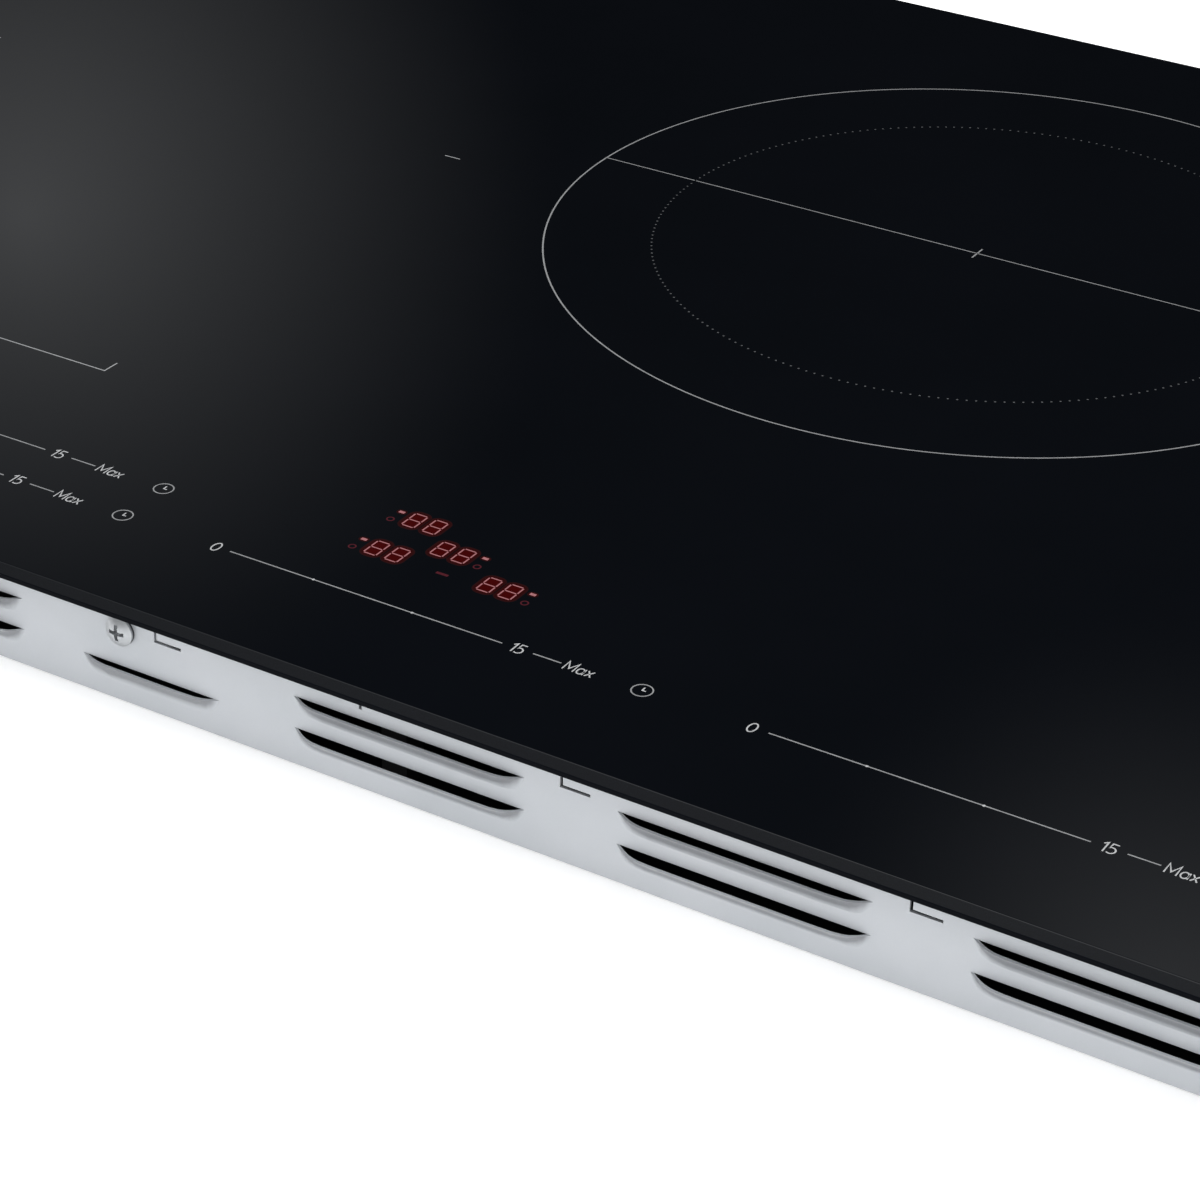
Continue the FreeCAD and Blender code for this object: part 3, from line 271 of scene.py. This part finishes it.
def inside_case(tree, beyond, y, z, up):
    """Where the case is painted dark as shade: 1 on what lies inside the walls and above the
    floor, but not in the clamps' pockets.
    """
    within = [arithmetic(tree, "LESS_THAN", outside, -INSIDE_DEPTH) for outside in beyond]
    floor_top = product(tree, arithmetic(tree, "GREATER_THAN", z, FLOOR_MIDDLE),
                        arithmetic(tree, "GREATER_THAN", up, 0.5))
    higher = arithmetic(tree, "GREATER_THAN", z, FLOOR_RIBS)
    raised = arithmetic(tree, "MAXIMUM", floor_top, higher)
    along = arithmetic(tree, "SUBTRACT", arithmetic(tree, "ABSOLUTE", y), POCKET_PLACE)
    pocket = product(tree, arithmetic(tree, "LESS_THAN", arithmetic(tree, "ABSOLUTE", along),
                                      POCKET_HALF),
                     arithmetic(tree, "GREATER_THAN", beyond[0], -POCKET_DEEP),
                     arithmetic(tree, "LESS_THAN", z, POCKET_TALL))
    return product(tree, *within, raised, lowered(tree, 1.0, pocket, 1.0))


def lip_shadow(tree, beyond, up):
    """Share of painted shadow on a louvre: none where it looks up, most 1 mm out, less at the lip.
    """
    proud = arithmetic(tree, "MAXIMUM", *beyond)
    halfway = product(tree, smooth_step(tree, proud, *LIP_ROOT), 0.62)
    shadow = lowered(tree, halfway, smooth_step(tree, proud, *LIP_EDGE), 0.3)
    looks_out = smooth_step(tree, up, 0.3, 0.1)
    return product(tree, shadow, looks_out)


def case_material():
    """Zinc-coated pale steel, cloudy and satin; painted shade darkens it inside, below the louvre
    lips and by the glass.
    """
    material, tree, shader = new_material("case_sheet")
    x, y, z = place_of(tree)
    up = split_vector(tree, tree.nodes.new("ShaderNodeNewGeometry").outputs["Normal"])["Z"]
    beyond = beyond_walls(tree, x, y)
    inside = inside_case(tree, beyond, y, z, up)

    # colour of the painted shade, below the louvre lips and towards the glass
    shaded = (0.09, 0.092, 0.10)
    sheet = ramp(tree, noise(tree, 22.0), (0.444, 0.465, 0.490), (0.493, 0.510, 0.536))
    # painted shade: the wall darkens towards the glass above it
    painted_shade_under_glass = product(tree, smooth_step(tree, z, *WALL_SHADED), 0.12)
    sheet = mix(tree, painted_shade_under_glass, sheet, shaded)
    # painted shadow below the louvre lips
    sheet = mix(tree, lip_shadow(tree, beyond, up), sheet, shaded)
    # painted shade: inside the case the steel is coloured nearly black
    sheet = mix(tree, inside, sheet, (0.006, 0.007, 0.008))
    tree.links.new(sheet, shader.inputs["Base Color"])
    fine = noise(tree, 1300.0, detail=2.0)
    tree.links.new(spread(tree, fine, 0.42, 0.52), shader.inputs["Roughness"])
    tree.links.new(lowered(tree, 0.5, inside, 0.4), shader.inputs["Specular IOR Level"])
    tree.links.new(lowered(tree, 0.25, inside, 0.25), shader.inputs["Metallic"])
    bump(tree, shader, fine, 0.000008)
    return material


def screw_material():
    """Zinc-plated screws, with painted contact shadow at the foot of the heads that stand on the
    case walls.
    """
    material = plain("screw_steel", (0.43, 0.445, 0.46), 0.4, 0.7, grain=900)
    tree = material.node_tree
    finish = tree.nodes["Principled BSDF"].inputs["Base Color"]
    x, y = place_of(tree)[:2]
    proud = arithmetic(tree, "MAXIMUM", *beyond_walls(tree, x, y))
    # painted contact shadow round the foot of each head
    foot = product(tree, arithmetic(tree, "GREATER_THAN", proud, -0.1 * MM),
                   smooth_step(tree, proud, *SCREW_FOOT_SHADOW))
    tree.links.new(mix(tree, foot, finish.links[0].from_socket, (0.03, 0.03, 0.033)), finish)
    return material


# ---------------------------------------------------------------- mesh helpers

def new_piece(name, vertices, faces, material, smooth=False):
    """A mesh object of the cooktop that rides on the root body."""
    mesh = bpy.data.meshes.new(name)
    mesh.from_pydata([tuple(v) for v in vertices], [], faces)
    mesh.validate()
    mesh.update()
    mesh.materials.append(material)
    for polygon in mesh.polygons:
        polygon.use_smooth = smooth
    piece = bpy.data.objects.new(name, mesh)
    bpy.context.scene.collection.objects.link(piece)
    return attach(piece, "root")


def circle_points(centre, radius, steps):
    """Points round a circle, anticlockwise from the right."""
    angles = [math.radians(360 * step / steps) for step in range(steps)]
    return [(centre[0] + radius * math.cos(a), centre[1] + radius * math.sin(a)) for a in angles]


class Slabs:
    """Collects flat outlines and turns them into one piece of thin closed slabs.

    The level is the height of their top face, as a share of the thickness of the print.
    """

    def __init__(self, level=1.0):
        self.vertices = []
        self.faces = []
        self.low = GLASS_TOP - PRINT_TALL / 2
        self.high = GLASS_TOP + PRINT_TALL * level

    def add_ring(self, left, right, closed):
        """A ribbon between two lines of points, as a closed slab."""
        count = len(left)
        first = len(self.vertices)
        for line in (left, right):
            for z in (self.low, self.high):
                self.vertices += [(x, y, z) for x, y in line]
        rows = [first + count * row for row in range(4)]
        left_low, left_high, right_low, right_high = rows
        steps = range(count if closed else count - 1)
        for here in steps:
            there = (here + 1) % count
            self.faces += [
                (left_high + here, right_high + here, right_high + there, left_high + there),
                (left_low + there, right_low + there, right_low + here, left_low + here),
                (left_low + here, left_high + here, left_high + there, left_low + there),
                (right_low + there, right_high + there, right_high + here, right_low + here),
            ]
        if not closed:
            for end, turned in ((0, False), (count - 1, True)):
                face = (left_low + end, right_low + end, right_high + end, left_high + end)
                self.faces.append(face[::-1] if turned else face)

    def line(self, points, width=PRINT_LINE, closed=False):
        """A stroke of constant width along points, mitred at its corners."""
        points = [Vector(p) for p in points]
        count = len(points)
        left = []
        right = []
        for index, point in enumerate(points):
            before = points[index - 1] if closed or index else point
            after = points[(index + 1) % count] if closed or index < count - 1 else point
            arriving = (point - before).normalized()
            leaving = (after - point).normalized()
            if not closed and index == 0:
                arriving = leaving
            if not closed and index == count - 1:
                leaving = arriving
            along = (arriving + leaving).normalized()
            normal = Vector((-along.y, along.x))
            square = Vector((-arriving.y, arriving.x))
            reach = width / 2 / max(MITRE_LIMIT, normal.dot(square))
            left.append(tuple(point + normal * reach))
            right.append(tuple(point - normal * reach))
        self.add_ring(left, right, closed)

    def circle(self, centre, radius, width, steps=120):
        """A full circle."""
        self.line(circle_points(centre, radius, steps), width, True)

    def plate(self, outline):
        """A filled slab with a convex outline, anticlockwise."""
        count = len(outline)
        first = len(self.vertices)
        self.vertices += [(x, y, self.low) for x, y in outline]
        self.vertices += [(x, y, self.high) for x, y in outline]
        self.faces.append(tuple(first + count + k for k in range(count)))
        self.faces.append(tuple(first + k for k in reversed(range(count))))
        for here in range(count):
            there = (here + 1) % count
            self.faces.append((first + here, first + there,
                               first + count + there, first + count + here))

    def dot(self, centre, radius, steps=12):
        """A filled disc."""
        self.plate(circle_points(centre, radius, steps))

    def make(self, name, material):
        """The piece that holds all the slabs."""
        return new_piece(name, self.vertices, self.faces, material)


def rounded_outline(half_width, half_depth, radius, inset, steps):
    """Points of a rounded rectangle, drawn in by an inset."""
    points = []
    for corner, (sx, sy) in enumerate(((1, 1), (-1, 1), (-1, -1), (1, -1))):
        for step in range(steps + 1):
            angle = math.radians(90 * (corner + step / steps))
            points.append((sx * (half_width - radius) + (radius - inset) * math.cos(angle),
                           sy * (half_depth - radius) + (radius - inset) * math.sin(angle)))
    return points


# ---------------------------------------------------------------- glass

def round_corner(before, corner, after, radius, steps):
    """Points and outward normals of an arc that rounds a corner of the edge's section."""
    arriving = (corner - before).normalized()
    leaving = (after - corner).normalized()
    turn = arriving.angle(leaving)
    reach = radius * math.tan(turn / 2)
    first = Vector((-arriving.y, arriving.x))
    centre = corner - arriving * reach - first * radius
    start = math.atan2(first.y, first.x)
    return [(centre + radius * Vector((math.cos(a), math.sin(a))),
             Vector((math.cos(a), math.sin(a))))
            for a in (start - turn * k / steps for k in range(steps + 1))]


def glass_section(run, drop, thick):
    """Section of the glass edge as offsets outwards and heights, with their normals."""
    top_end = Vector((-2 * run, 0))      # a point of the top face
    arris = Vector((-run, 0))
    rim = Vector((0, -drop))
    foot = Vector((0, -thick))
    section = round_corner(top_end, arris, rim, ARRIS_RADIUS, 6)
    section += round_corner(arris, rim, foot, RIM_RADIUS, 4)
    section.append((foot, Vector((1, 0))))
    return section


def build_glass():
    """The glass plate with its bevelled and softened edge."""
    half_width = (GLASS_HIGH.x - GLASS_LOW.x) / 2
    half_depth = (GLASS_HIGH.y - GLASS_LOW.y) / 2
    section = glass_section(BEVEL_RUN, BEVEL_DROP, GLASS_TOP - GLASS_LOW.z)
    outward = rounded_outline(0, 0, 0, -1, CORNER_STEPS)
    count = len(outward)
    vertices = []
    normals = []
    for offset, normal in section:
        outline = rounded_outline(half_width, half_depth, CORNER_RADIUS, -offset.x, CORNER_STEPS)
        vertices += [(x, y, GLASS_TOP + offset.y) for x, y in outline]
        normals += [(x * normal.x, y * normal.x, normal.y) for x, y in outward]
    faces = []
    for ring in range(len(section) - 1):
        for here in range(count):
            there = (here + 1) % count
            upper, lower = ring * count, (ring + 1) * count
            faces.append((upper + here, lower + here, lower + there, upper + there))
    last = (len(section) - 1) * count
    top = tuple(range(count))
    underside = tuple(last + k for k in reversed(range(count)))
    piece = new_piece("glass_plate", vertices, faces + [top, underside], glass_material(),
                      smooth=True)
    corner_normals = []
    for polygon in piece.data.polygons:
        flat = polygon.normal if len(polygon.vertices) == count else None
        corner_normals += [flat or normals[vertex] for vertex in polygon.vertices]
    piece.data.normals_split_custom_set(corner_normals)
    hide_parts("glass_top")


# ---------------------------------------------------------------- printed marks

SLIDER_PITCH = 167.1 * MM
SLIDER_Y = FRONT_EDGE + 39.9 * MM
REAR_SLIDER_Y = FRONT_EDGE + 58.2 * MM
ZERO_PLACE = -67.5 * MM            # places along a slider, from its middle
LONG_LINE = (-62.9 * MM, 25.0 * MM)
LEVEL_DOTS = (-35.2 * MM, -3.3 * MM)
FIFTEEN_PLACE = 29.8 * MM
SHORT_LINE = (34.5 * MM, 43.1 * MM)
MAX_PLACE = 48.8 * MM
CLOCK_PLACE = 67.4 * MM
LEVEL_DOT_RADIUS = 0.42 * MM
CLOCK_RADIUS = 2.85 * MM
CLOCK_HANDS = (1.5 * MM, 1.1 * MM)
GLYPH = 4.2 * MM                   # height of the labels
GLYPH_LINE = 0.41 * MM
SAME_POINT = 0.01                  # a stroke whose ends are this close is closed, in heights
THIN_LINE = 0.38 * MM
CROSS_LINE = 0.45 * MM
RING_LINE = 0.5 * MM
MIDDLE_ZONE = 140 * MM             # radii of the cooking zones
INNER_RING = 105 * MM
RIGHT_ZONE = 80 * MM
RING_DOTS = 236                    # dots that the inner ring is made of
RING_DOT_RADIUS = 0.33 * MM
MIDDLE_TICK = 3.8 * MM
RIGHT_CROSS = 5.2 * MM
FLEX_LEFT, FLEX_RIGHT = -366.5 * MM, -159.5 * MM
FLEX_FRONT, FLEX_REAR = FRONT_EDGE + 106.8 * MM, 230 * MM
FLEX_TICK = 6 * MM


def glyph_strokes(letter):
    """Strokes of one label character, in a cell one unit tall with its foot at y = 0."""
    def curve(cx, cy, rx, ry, start, stop, steps=16):
        angles = [math.radians(start + (stop - start) * k / steps) for k in range(steps + 1)]
        return [(cx + rx * math.cos(a), cy + ry * math.sin(a)) for a in angles]

    strokes = {
        "0": (0.62, [curve(0.31, 0.5, 0.27, 0.5, 0, 360, 28)]),
        "1": (0.40, [[(0.06, 0.80), (0.28, 1.0), (0.28, 0.0)]]),
        "5": (0.62, [[(0.54, 1.0), (0.16, 1.0), (0.12, 0.56)]
                     + curve(0.27, 0.31, 0.29, 0.31, 118, -128)]),
        "M": (0.94, [[(0.08, 0.0), (0.08, 1.0), (0.44, 0.22), (0.80, 1.0), (0.80, 0.0)]]),
        "a": (0.66, [curve(0.29, 0.32, 0.23, 0.32, 0, 360, 24), [(0.54, 0.66), (0.54, 0.0)]]),
        "x": (0.56, [[(0.05, 0.66), (0.47, 0.0)], [(0.05, 0.0), (0.47, 0.66)]]),
    }
    return strokes[letter]


def add_label(slabs, text, centre):
    """A label of thin upright characters, centred on a point."""
    width = sum(glyph_strokes(letter)[0] for letter in text) * GLYPH
    x = centre[0] - width / 2
    y = centre[1] - GLYPH / 2
    for letter in text:
        advance, strokes = glyph_strokes(letter)
        for stroke in strokes:
            closed = math.dist(stroke[0], stroke[-1]) < SAME_POINT
            points = [(x + px * GLYPH, y + py * GLYPH) for px, py in stroke]
            slabs.line(points[:-1] if closed else points, GLYPH_LINE, closed)
        x += advance * GLYPH


def add_slider(glyphs, lines, x, y):
    """One touch slider: 0, a long line, 15, a dash, the end label and a clock."""
    add_label(glyphs, "0", (x + ZERO_PLACE, y))
    for place in LEVEL_DOTS:
        glyphs.dot((x + place, y), LEVEL_DOT_RADIUS)
    add_label(glyphs, "15", (x + FIFTEEN_PLACE, y))
    add_label(glyphs, "Max", (x + MAX_PLACE, y))
    for start, stop in (LONG_LINE, SHORT_LINE):
        lines.line([(x + start, y), (x + stop, y)])
    clock = (x + CLOCK_PLACE, y)
    lines.circle(clock, CLOCK_RADIUS, THIN_LINE)
    glyphs.line([(clock[0], y + CLOCK_HANDS[0]), clock, (clock[0] + CLOCK_HANDS[1], y)], THIN_LINE)


def middle_of(box):
    """The middle of a box, seen from above."""
    return ((box[0].x + box[1].x) / 2, (box[0].y + box[1].y) / 2)


def build_sliders(pale):
    """Three sliders along the front edge and one behind the left one."""
    glyphs = Slabs()
    lines = Slabs(0.9)
    for column in (-1, 0, 1):
        add_slider(glyphs, lines, column * SLIDER_PITCH, SLIDER_Y)
    add_slider(glyphs, lines, -SLIDER_PITCH, REAR_SLIDER_Y)
    glyphs.make("print_glyphs", enamel("print_white", (0.32, 0.325, 0.33)))
    lines.make("print_slider_lines", pale)


def build_middle_zone(pale):
    """Outer ring, diameter and dotted inner ring of the double zone."""
    x, y = middle_of(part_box("middle_coil_outer"))
    zone = Slabs()
    zone.circle((x, y), MIDDLE_ZONE, RING_LINE, 240)
    zone.line([(x - MIDDLE_ZONE, y), (x + MIDDLE_ZONE, y)], THIN_LINE)
    zone.line([(x, y - MIDDLE_TICK), (x, y + MIDDLE_TICK)], RING_LINE)
    zone.make("print_middle_zone", pale)
    dots = Slabs()
    for centre in circle_points((x, y), INNER_RING, RING_DOTS):
        dots.dot(centre, RING_DOT_RADIUS, 8)
    dots.make("print_inner_ring", enamel("print_grey", (0.068, 0.071, 0.075)))


def build_right_zone(pale):
    """Ring and cross of the right zone."""
    x, y = middle_of(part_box("right_coil"))
    zone = Slabs()
    zone.circle((x, y), RIGHT_ZONE, RING_LINE, 160)
    zone.line([(x - RIGHT_CROSS, y), (x + RIGHT_CROSS, y)], CROSS_LINE)
    zone.line([(x, y - RIGHT_CROSS), (x, y + RIGHT_CROSS)], CROSS_LINE)
    zone.make("print_right_zone", pale)


def build_flex_zone():
    """Front and rear brackets of the flex zone, and a tick halfway up each side."""
    flex = Slabs()
    for y, turn in ((FLEX_FRONT, 1), (FLEX_REAR, -1)):
        end = y + turn * FLEX_TICK
        flex.line([(FLEX_LEFT, end), (FLEX_LEFT, y), (FLEX_RIGHT, y), (FLEX_RIGHT, end)])
    halfway = (FLEX_FRONT + FLEX_REAR) / 2
    flex.line([(FLEX_LEFT, halfway), (FLEX_LEFT + FLEX_TICK, halfway)])
    flex.line([(FLEX_RIGHT - FLEX_TICK, halfway), (FLEX_RIGHT, halfway)])
    flex.make("print_flex_zone", enamel("print_light", (0.24, 0.245, 0.25)))


def build_prints():
    """All printed marks on the glass."""
    pale = enamel("print_pale", (0.19, 0.194, 0.198))
    build_sliders(pale)
    build_middle_zone(pale)
    build_right_zone(pale)
    build_flex_zone()


# ---------------------------------------------------------------- lit digits

DIGIT_WIDE = 4.0 * MM              # between the middles of the segments
DIGIT_TALL = 7.2 * MM
DIGIT_LINE = 0.42 * MM
DIGIT_GAP = 0.28 * MM              # from a segment's end to the corner of its digit
DIGIT_PLACE = 3.4 * MM             # middle of a digit, from the middle of its pair
DOT_PLACE = 9.1 * MM               # small lit bar beside a pair, above its mark
DOT_RISE = 2.15 * MM
DOT_HALF = 0.9 * MM
DOT_LINE = 1.1 * MM
MARK_DROP = 2.8 * MM
MARK_SHIFT = 0.5 * MM
MARK_RADIUS = 1.0 * MM
MARK_LINE = 0.4 * MM
DASH_LEFT, DASH_RIGHT = -9.9 * MM, -6.1 * MM
DASH_Y = FRONT_EDGE + 61.2 * MM
DASH_LINE = 1.0 * MM
# The four pairs of digits: x, distance from the front edge, and the side of their dot and mark
DISPLAYS = (
    (-27.3 * MM, 81.5 * MM, -1),
    (-27.3 * MM, 63.2 * MM, -1),
    (-11.9 * MM, 72.4 * MM, 1),
    (9.2 * MM, 63.2 * MM, 1),
)
# Layers of the glow, the lowest and widest first: reach past the digits, then red and green
GLOW_REACH = (1.6 * MM, 1.25 * MM, 0.9 * MM, 0.5 * MM, 0.1 * MM, -0.35 * MM)
GLOW_COLORS = (
    (0.0072, 0.0044),
    (0.0100, 0.0030),
    (0.0150, 0.0016),
    (0.022, 0.0008),
    (0.030, 0.0005),
    (0.038, 0.0003),
)
GLOW_FIRST = 0.15                  # height of the lowest layer, as a share of the print's
GLOW_STEP = 0.13                   # rise from each layer to the next
GLOW_BLUE = 1.15                   # blue of the glow, as a share of its green
GLOW_CORNER = 1.3 * MM             # corner radius of a glow of no reach
GLOW_ROUND = 0.98                  # below 1, so that its sides keep a straight stretch
DOT_GLOW = 0.45                    # reach of the dots' glow, as a share of the digits'
DOT_GLOW_HIGH = 0.5 * MM           # half height of a dot's glow of no reach


def add_digit(slabs, x, y):
    """The seven segments of an 8, with small gaps between them."""
    across = DIGIT_WIDE / 2 - DIGIT_GAP
    half = DIGIT_TALL / 2
    for level in (-half, 0, half):
        slabs.line([(x - across, y + level), (x + across, y + level)], DIGIT_LINE)
    for side in (x - DIGIT_WIDE / 2, x + DIGIT_WIDE / 2):
        for low in (y - half, y):
            slabs.line([(side, low + DIGIT_GAP), (side, low + half - DIGIT_GAP)], DIGIT_LINE)


def add_glow(slabs, centre, half_width, half_height, reach):
    """A rounded plate that reaches a little past a lit shape."""
    radius = min(GLOW_CORNER, half_width, half_height) + reach
    outline = rounded_outline(half_width + reach, half_height + reach, GLOW_ROUND * radius, 0, 6)
    slabs.plate([(centre[0] + x, centre[1] + y) for x, y in outline])


def build_displays():
    """Four two-digit displays with their dots, their dim marks and the glow around them."""
    digits = Slabs()
    marks = Slabs(0.95)
    glows = [Slabs(GLOW_FIRST + GLOW_STEP * number) for number in range(len(GLOW_REACH))]
    for x, depth, side in DISPLAYS:
        y = FRONT_EDGE + depth
        pair = (x - DIGIT_PLACE, x + DIGIT_PLACE)
        dot = (x + side * DOT_PLACE, y + DOT_RISE)
        for place in pair:
            add_digit(digits, place, y)
        digits.line([(dot[0] - DOT_HALF, dot[1]), (dot[0] + DOT_HALF, dot[1])], DOT_LINE)
        marks.circle((dot[0] + side * MARK_SHIFT, y - MARK_DROP), MARK_RADIUS, MARK_LINE)
        for glow, reach in zip(glows, GLOW_REACH):
            for place in pair:
                add_glow(glow, (place, y), DIGIT_WIDE / 2, DIGIT_TALL / 2, reach)
            add_glow(glow, dot, DOT_HALF, DOT_GLOW_HIGH, reach * DOT_GLOW)
    marks.line([(DASH_LEFT, DASH_Y), (DASH_RIGHT, DASH_Y)], DASH_LINE)
    bright = lit_material("display_light", (0.45, 0.19, 0.205))
    dim = lit_material("display_dim", (0.075, 0.015, 0.023))
    digits.make("display_digits", bright)
    marks.make("display_marks", dim)
    for number, (glow, (red, green)) in enumerate(zip(glows, GLOW_COLORS)):
        material = lit_material(f"display_glow_{number}", (red, green, green * GLOW_BLUE))
        glow.make(f"display_glow_{number}", material)


# ---------------------------------------------------------------- finishes of the CAD nodes

def dress_nodes():
    """Give every CAD node the finish of its material slot."""
    finishes = {
        "case_steel": case_material(),
        "seal_foam": plain("seal_foam", (0.012, 0.012, 0.012), 0.9, grain=2500, depth=0.00006),
        "silicone": plain("silicone", (0.02, 0.02, 0.022), 0.5),
        "frame_steel": plain("frame_steel", (0.52, 0.54, 0.57), 0.4, 0.8),
        "screw_steel": screw_material(),
        "clamp_steel": plain("clamp_steel", (0.50, 0.52, 0.55), 0.35, 0.9, grain=700),
        "copper": plain("copper", (0.62, 0.27, 0.12), 0.35, 0.9, grain=900),
        "former_plastic": plain("former_plastic", (0.03, 0.03, 0.03), 0.5),
        "ferrite": plain("ferrite", (0.03, 0.03, 0.033), 0.6),
        "plate_aluminium": plain("plate_aluminium", (0.72, 0.73, 0.75), 0.35, 0.9,
                                 stretch=(0.1, 1, 1)),
        "mica": plain("mica", (0.45, 0.40, 0.30), 0.4),
        "sensor_ceramic": plain("sensor_ceramic", (0.75, 0.73, 0.68), 0.5),
        "spring_steel": plain("spring_steel", (0.4, 0.41, 0.43), 0.3, 0.9),
        "black_plastic": plain("black_plastic", (0.018, 0.018, 0.019), 0.45, grain=1500,
                               depth=0.00003),
        "rotor_plastic": plain("rotor_plastic", (0.03, 0.03, 0.033), 0.4, grain=1500),
        "circuit_board": plain("circuit_board", (0.012, 0.10, 0.045), 0.35),
        "capacitor_plastic": plain("capacitor_plastic", (0.45, 0.05, 0.03), 0.3),
        "bus_plastic": plain("bus_plastic", (0.06, 0.07, 0.22), 0.3),
        "choke": plain("choke", (0.28, 0.14, 0.07), 0.35),
        "nylon": plain("nylon", (0.70, 0.68, 0.62), 0.5),
        "brass": plain("brass", (0.68, 0.50, 0.20), 0.3, 0.9),
        "rubber": plain("rubber", (0.015, 0.015, 0.015), 0.7, grain=1800, depth=0.00003),
        "display": plain("display_case", (0.05, 0.01, 0.01), 0.4),
        "pad_foam": plain("pad_foam", (0.05, 0.05, 0.055), 0.8),
    }
    slots = {entry["node"]: entry["material_slot"] for entry in frame["record"]["subparts"]}
    for name, node in NODES.items():
        if slots[name] in finishes:
            node.data.materials.clear()
            node.data.materials.append(finishes[slots[name]])


# ---------------------------------------------------------------- studio

# Pale patches of the studio: azimuth and elevation, reach in degrees, fall-off, strength
STUDIO_PATCHES = (
    ((41.4, 23.9), 9.0, 1.65, 0.40),
    ((19.0, 37.0), 7.4, 1.86, 0.44),
    ((165, 64), 42, 1.0, 1.7),
)
FLOOR_HALF = 12.0
FLOOR_GAP = 0.5 * MM               # air between the case and the floor


def direction(azimuth, elevation):
    """Unit vector towards a place in the studio; azimuth 0 is behind the object, 90 left."""
    a, e = math.radians(azimuth), math.radians(elevation)
    return Vector((-math.sin(a) * math.cos(e), math.cos(a) * math.cos(e), math.sin(e)))


def add_patch(tree, view, centre, reach, power, strength):
    """A soft pale patch in the studio, brightest in the middle; its reach is in degrees."""
    dot = tree.nodes.new("ShaderNodeVectorMath")
    dot.operation = "DOT_PRODUCT"
    dot.inputs[1].default_value = centre
    tree.links.new(view, dot.inputs[0])
    angle = arithmetic(tree, "ARCCOSINE", dot.outputs["Value"])
    share = arithmetic(tree, "DIVIDE", angle, math.radians(reach))
    share = arithmetic(tree, "MAXIMUM", arithmetic(tree, "SUBTRACT", 1.0, share), 0.0)
    return product(tree, arithmetic(tree, "POWER", share, power), strength)


def build_world():
    """Dim studio, paler in front, with two soft patches that the glass mirrors and one above."""
    world = bpy.data.worlds.new("studio")
    bpy.context.scene.world = world
    world.use_nodes = True
    tree = world.node_tree
    background = tree.nodes["Background"]
    view = tree.nodes.new("ShaderNodeTexCoord").outputs["Generated"]
    front = arithmetic(tree, "MAXIMUM", product(tree, split_vector(tree, view)["Y"], -1.0), 0.0)
    total = arithmetic(tree, "ADD", product(tree, front, 0.35), 0.003)
    for centre, reach, power, strength in STUDIO_PATCHES:
        patch = add_patch(tree, view, direction(*centre), reach, power, strength)
        total = arithmetic(tree, "ADD", total, patch)
    tree.links.new(total, background.inputs["Strength"])
    background.inputs["Color"].default_value = (0.97, 0.985, 1.0, 1)


def add_softbox(name, azimuth, elevation, distance, width, height, power):
    """A rectangular area light that faces the middle of the cooktop and isn't mirrored in it."""
    data = bpy.data.lights.new(name, "AREA")
    data.shape = "RECTANGLE"
    data.size = width
    data.size_y = height
    data.energy = power
    light = bpy.data.objects.new(name, data)
    towards = direction(azimuth, elevation)
    light.location = towards * distance
    light.rotation_mode = "QUATERNION"
    light.rotation_quaternion = towards.to_track_quat("Z", "Y")
    light.visible_glossy = False
    bpy.context.scene.collection.objects.link(light)


def build_floor():
    """A plain pale floor below the case."""
    mesh = bpy.data.meshes.new("studio_floor")
    corners = ((-1, -1), (1, -1), (1, 1), (-1, 1))
    mesh.from_pydata([(FLOOR_HALF * x, FLOOR_HALF * y, CASE_LOW.z - FLOOR_GAP)
                      for x, y in corners], [], [(0, 1, 2, 3)])
    material, tree, shader = new_material("floor_white")
    shader.inputs["Base Color"].default_value = (0.9, 0.9, 0.9, 1)
    shader.inputs["Roughness"].default_value = 0.9
    shader.inputs["Emission Color"].default_value = (1, 1, 1, 1)
    shader.inputs["Emission Strength"].default_value = 0.22
    mesh.materials.append(material)
    floor = bpy.data.objects.new("studio_floor", mesh)
    bpy.context.scene.collection.objects.link(floor)


def build_camera():
    """The camera, from its direction, its roll and the point that it looks at."""
    azimuth = math.radians(CAMERA_AZIMUTH)
    back = direction(180 + CAMERA_AZIMUTH, CAMERA_ELEVATION)
    right = Vector((math.cos(azimuth), math.sin(azimuth), 0))
    axes = Matrix((right, back.cross(right), back)).transposed().to_4x4()
    roll = Matrix.Rotation(math.radians(CAMERA_ROLL), 4, "Z")
    data = bpy.data.cameras.new("camera")
    data.sensor_width = CAMERA_SENSOR
    data.lens = CAMERA_LENS
    data.clip_start = 0.01
    data.clip_end = 100
    camera = bpy.data.objects.new("camera", data)
    camera.matrix_world = Matrix.Translation(CAMERA_TARGET + back * CAMERA_DISTANCE) @ axes @ roll
    bpy.context.scene.collection.objects.link(camera)
    bpy.context.scene.camera = camera


def build_studio():
    """Camera, world, lights and floor."""
    build_camera()
    build_world()
    add_softbox("key", azimuth=205, elevation=34, distance=3.0, width=2.4, height=1.4, power=38)
    add_softbox("top", azimuth=180, elevation=80, distance=3.2, width=3.0, height=3.0, power=150)
    build_floor()
    bpy.context.scene.view_settings.view_transform = "Standard"


build_studio()
build_glass()
build_prints()
build_displays()
dress_nodes()
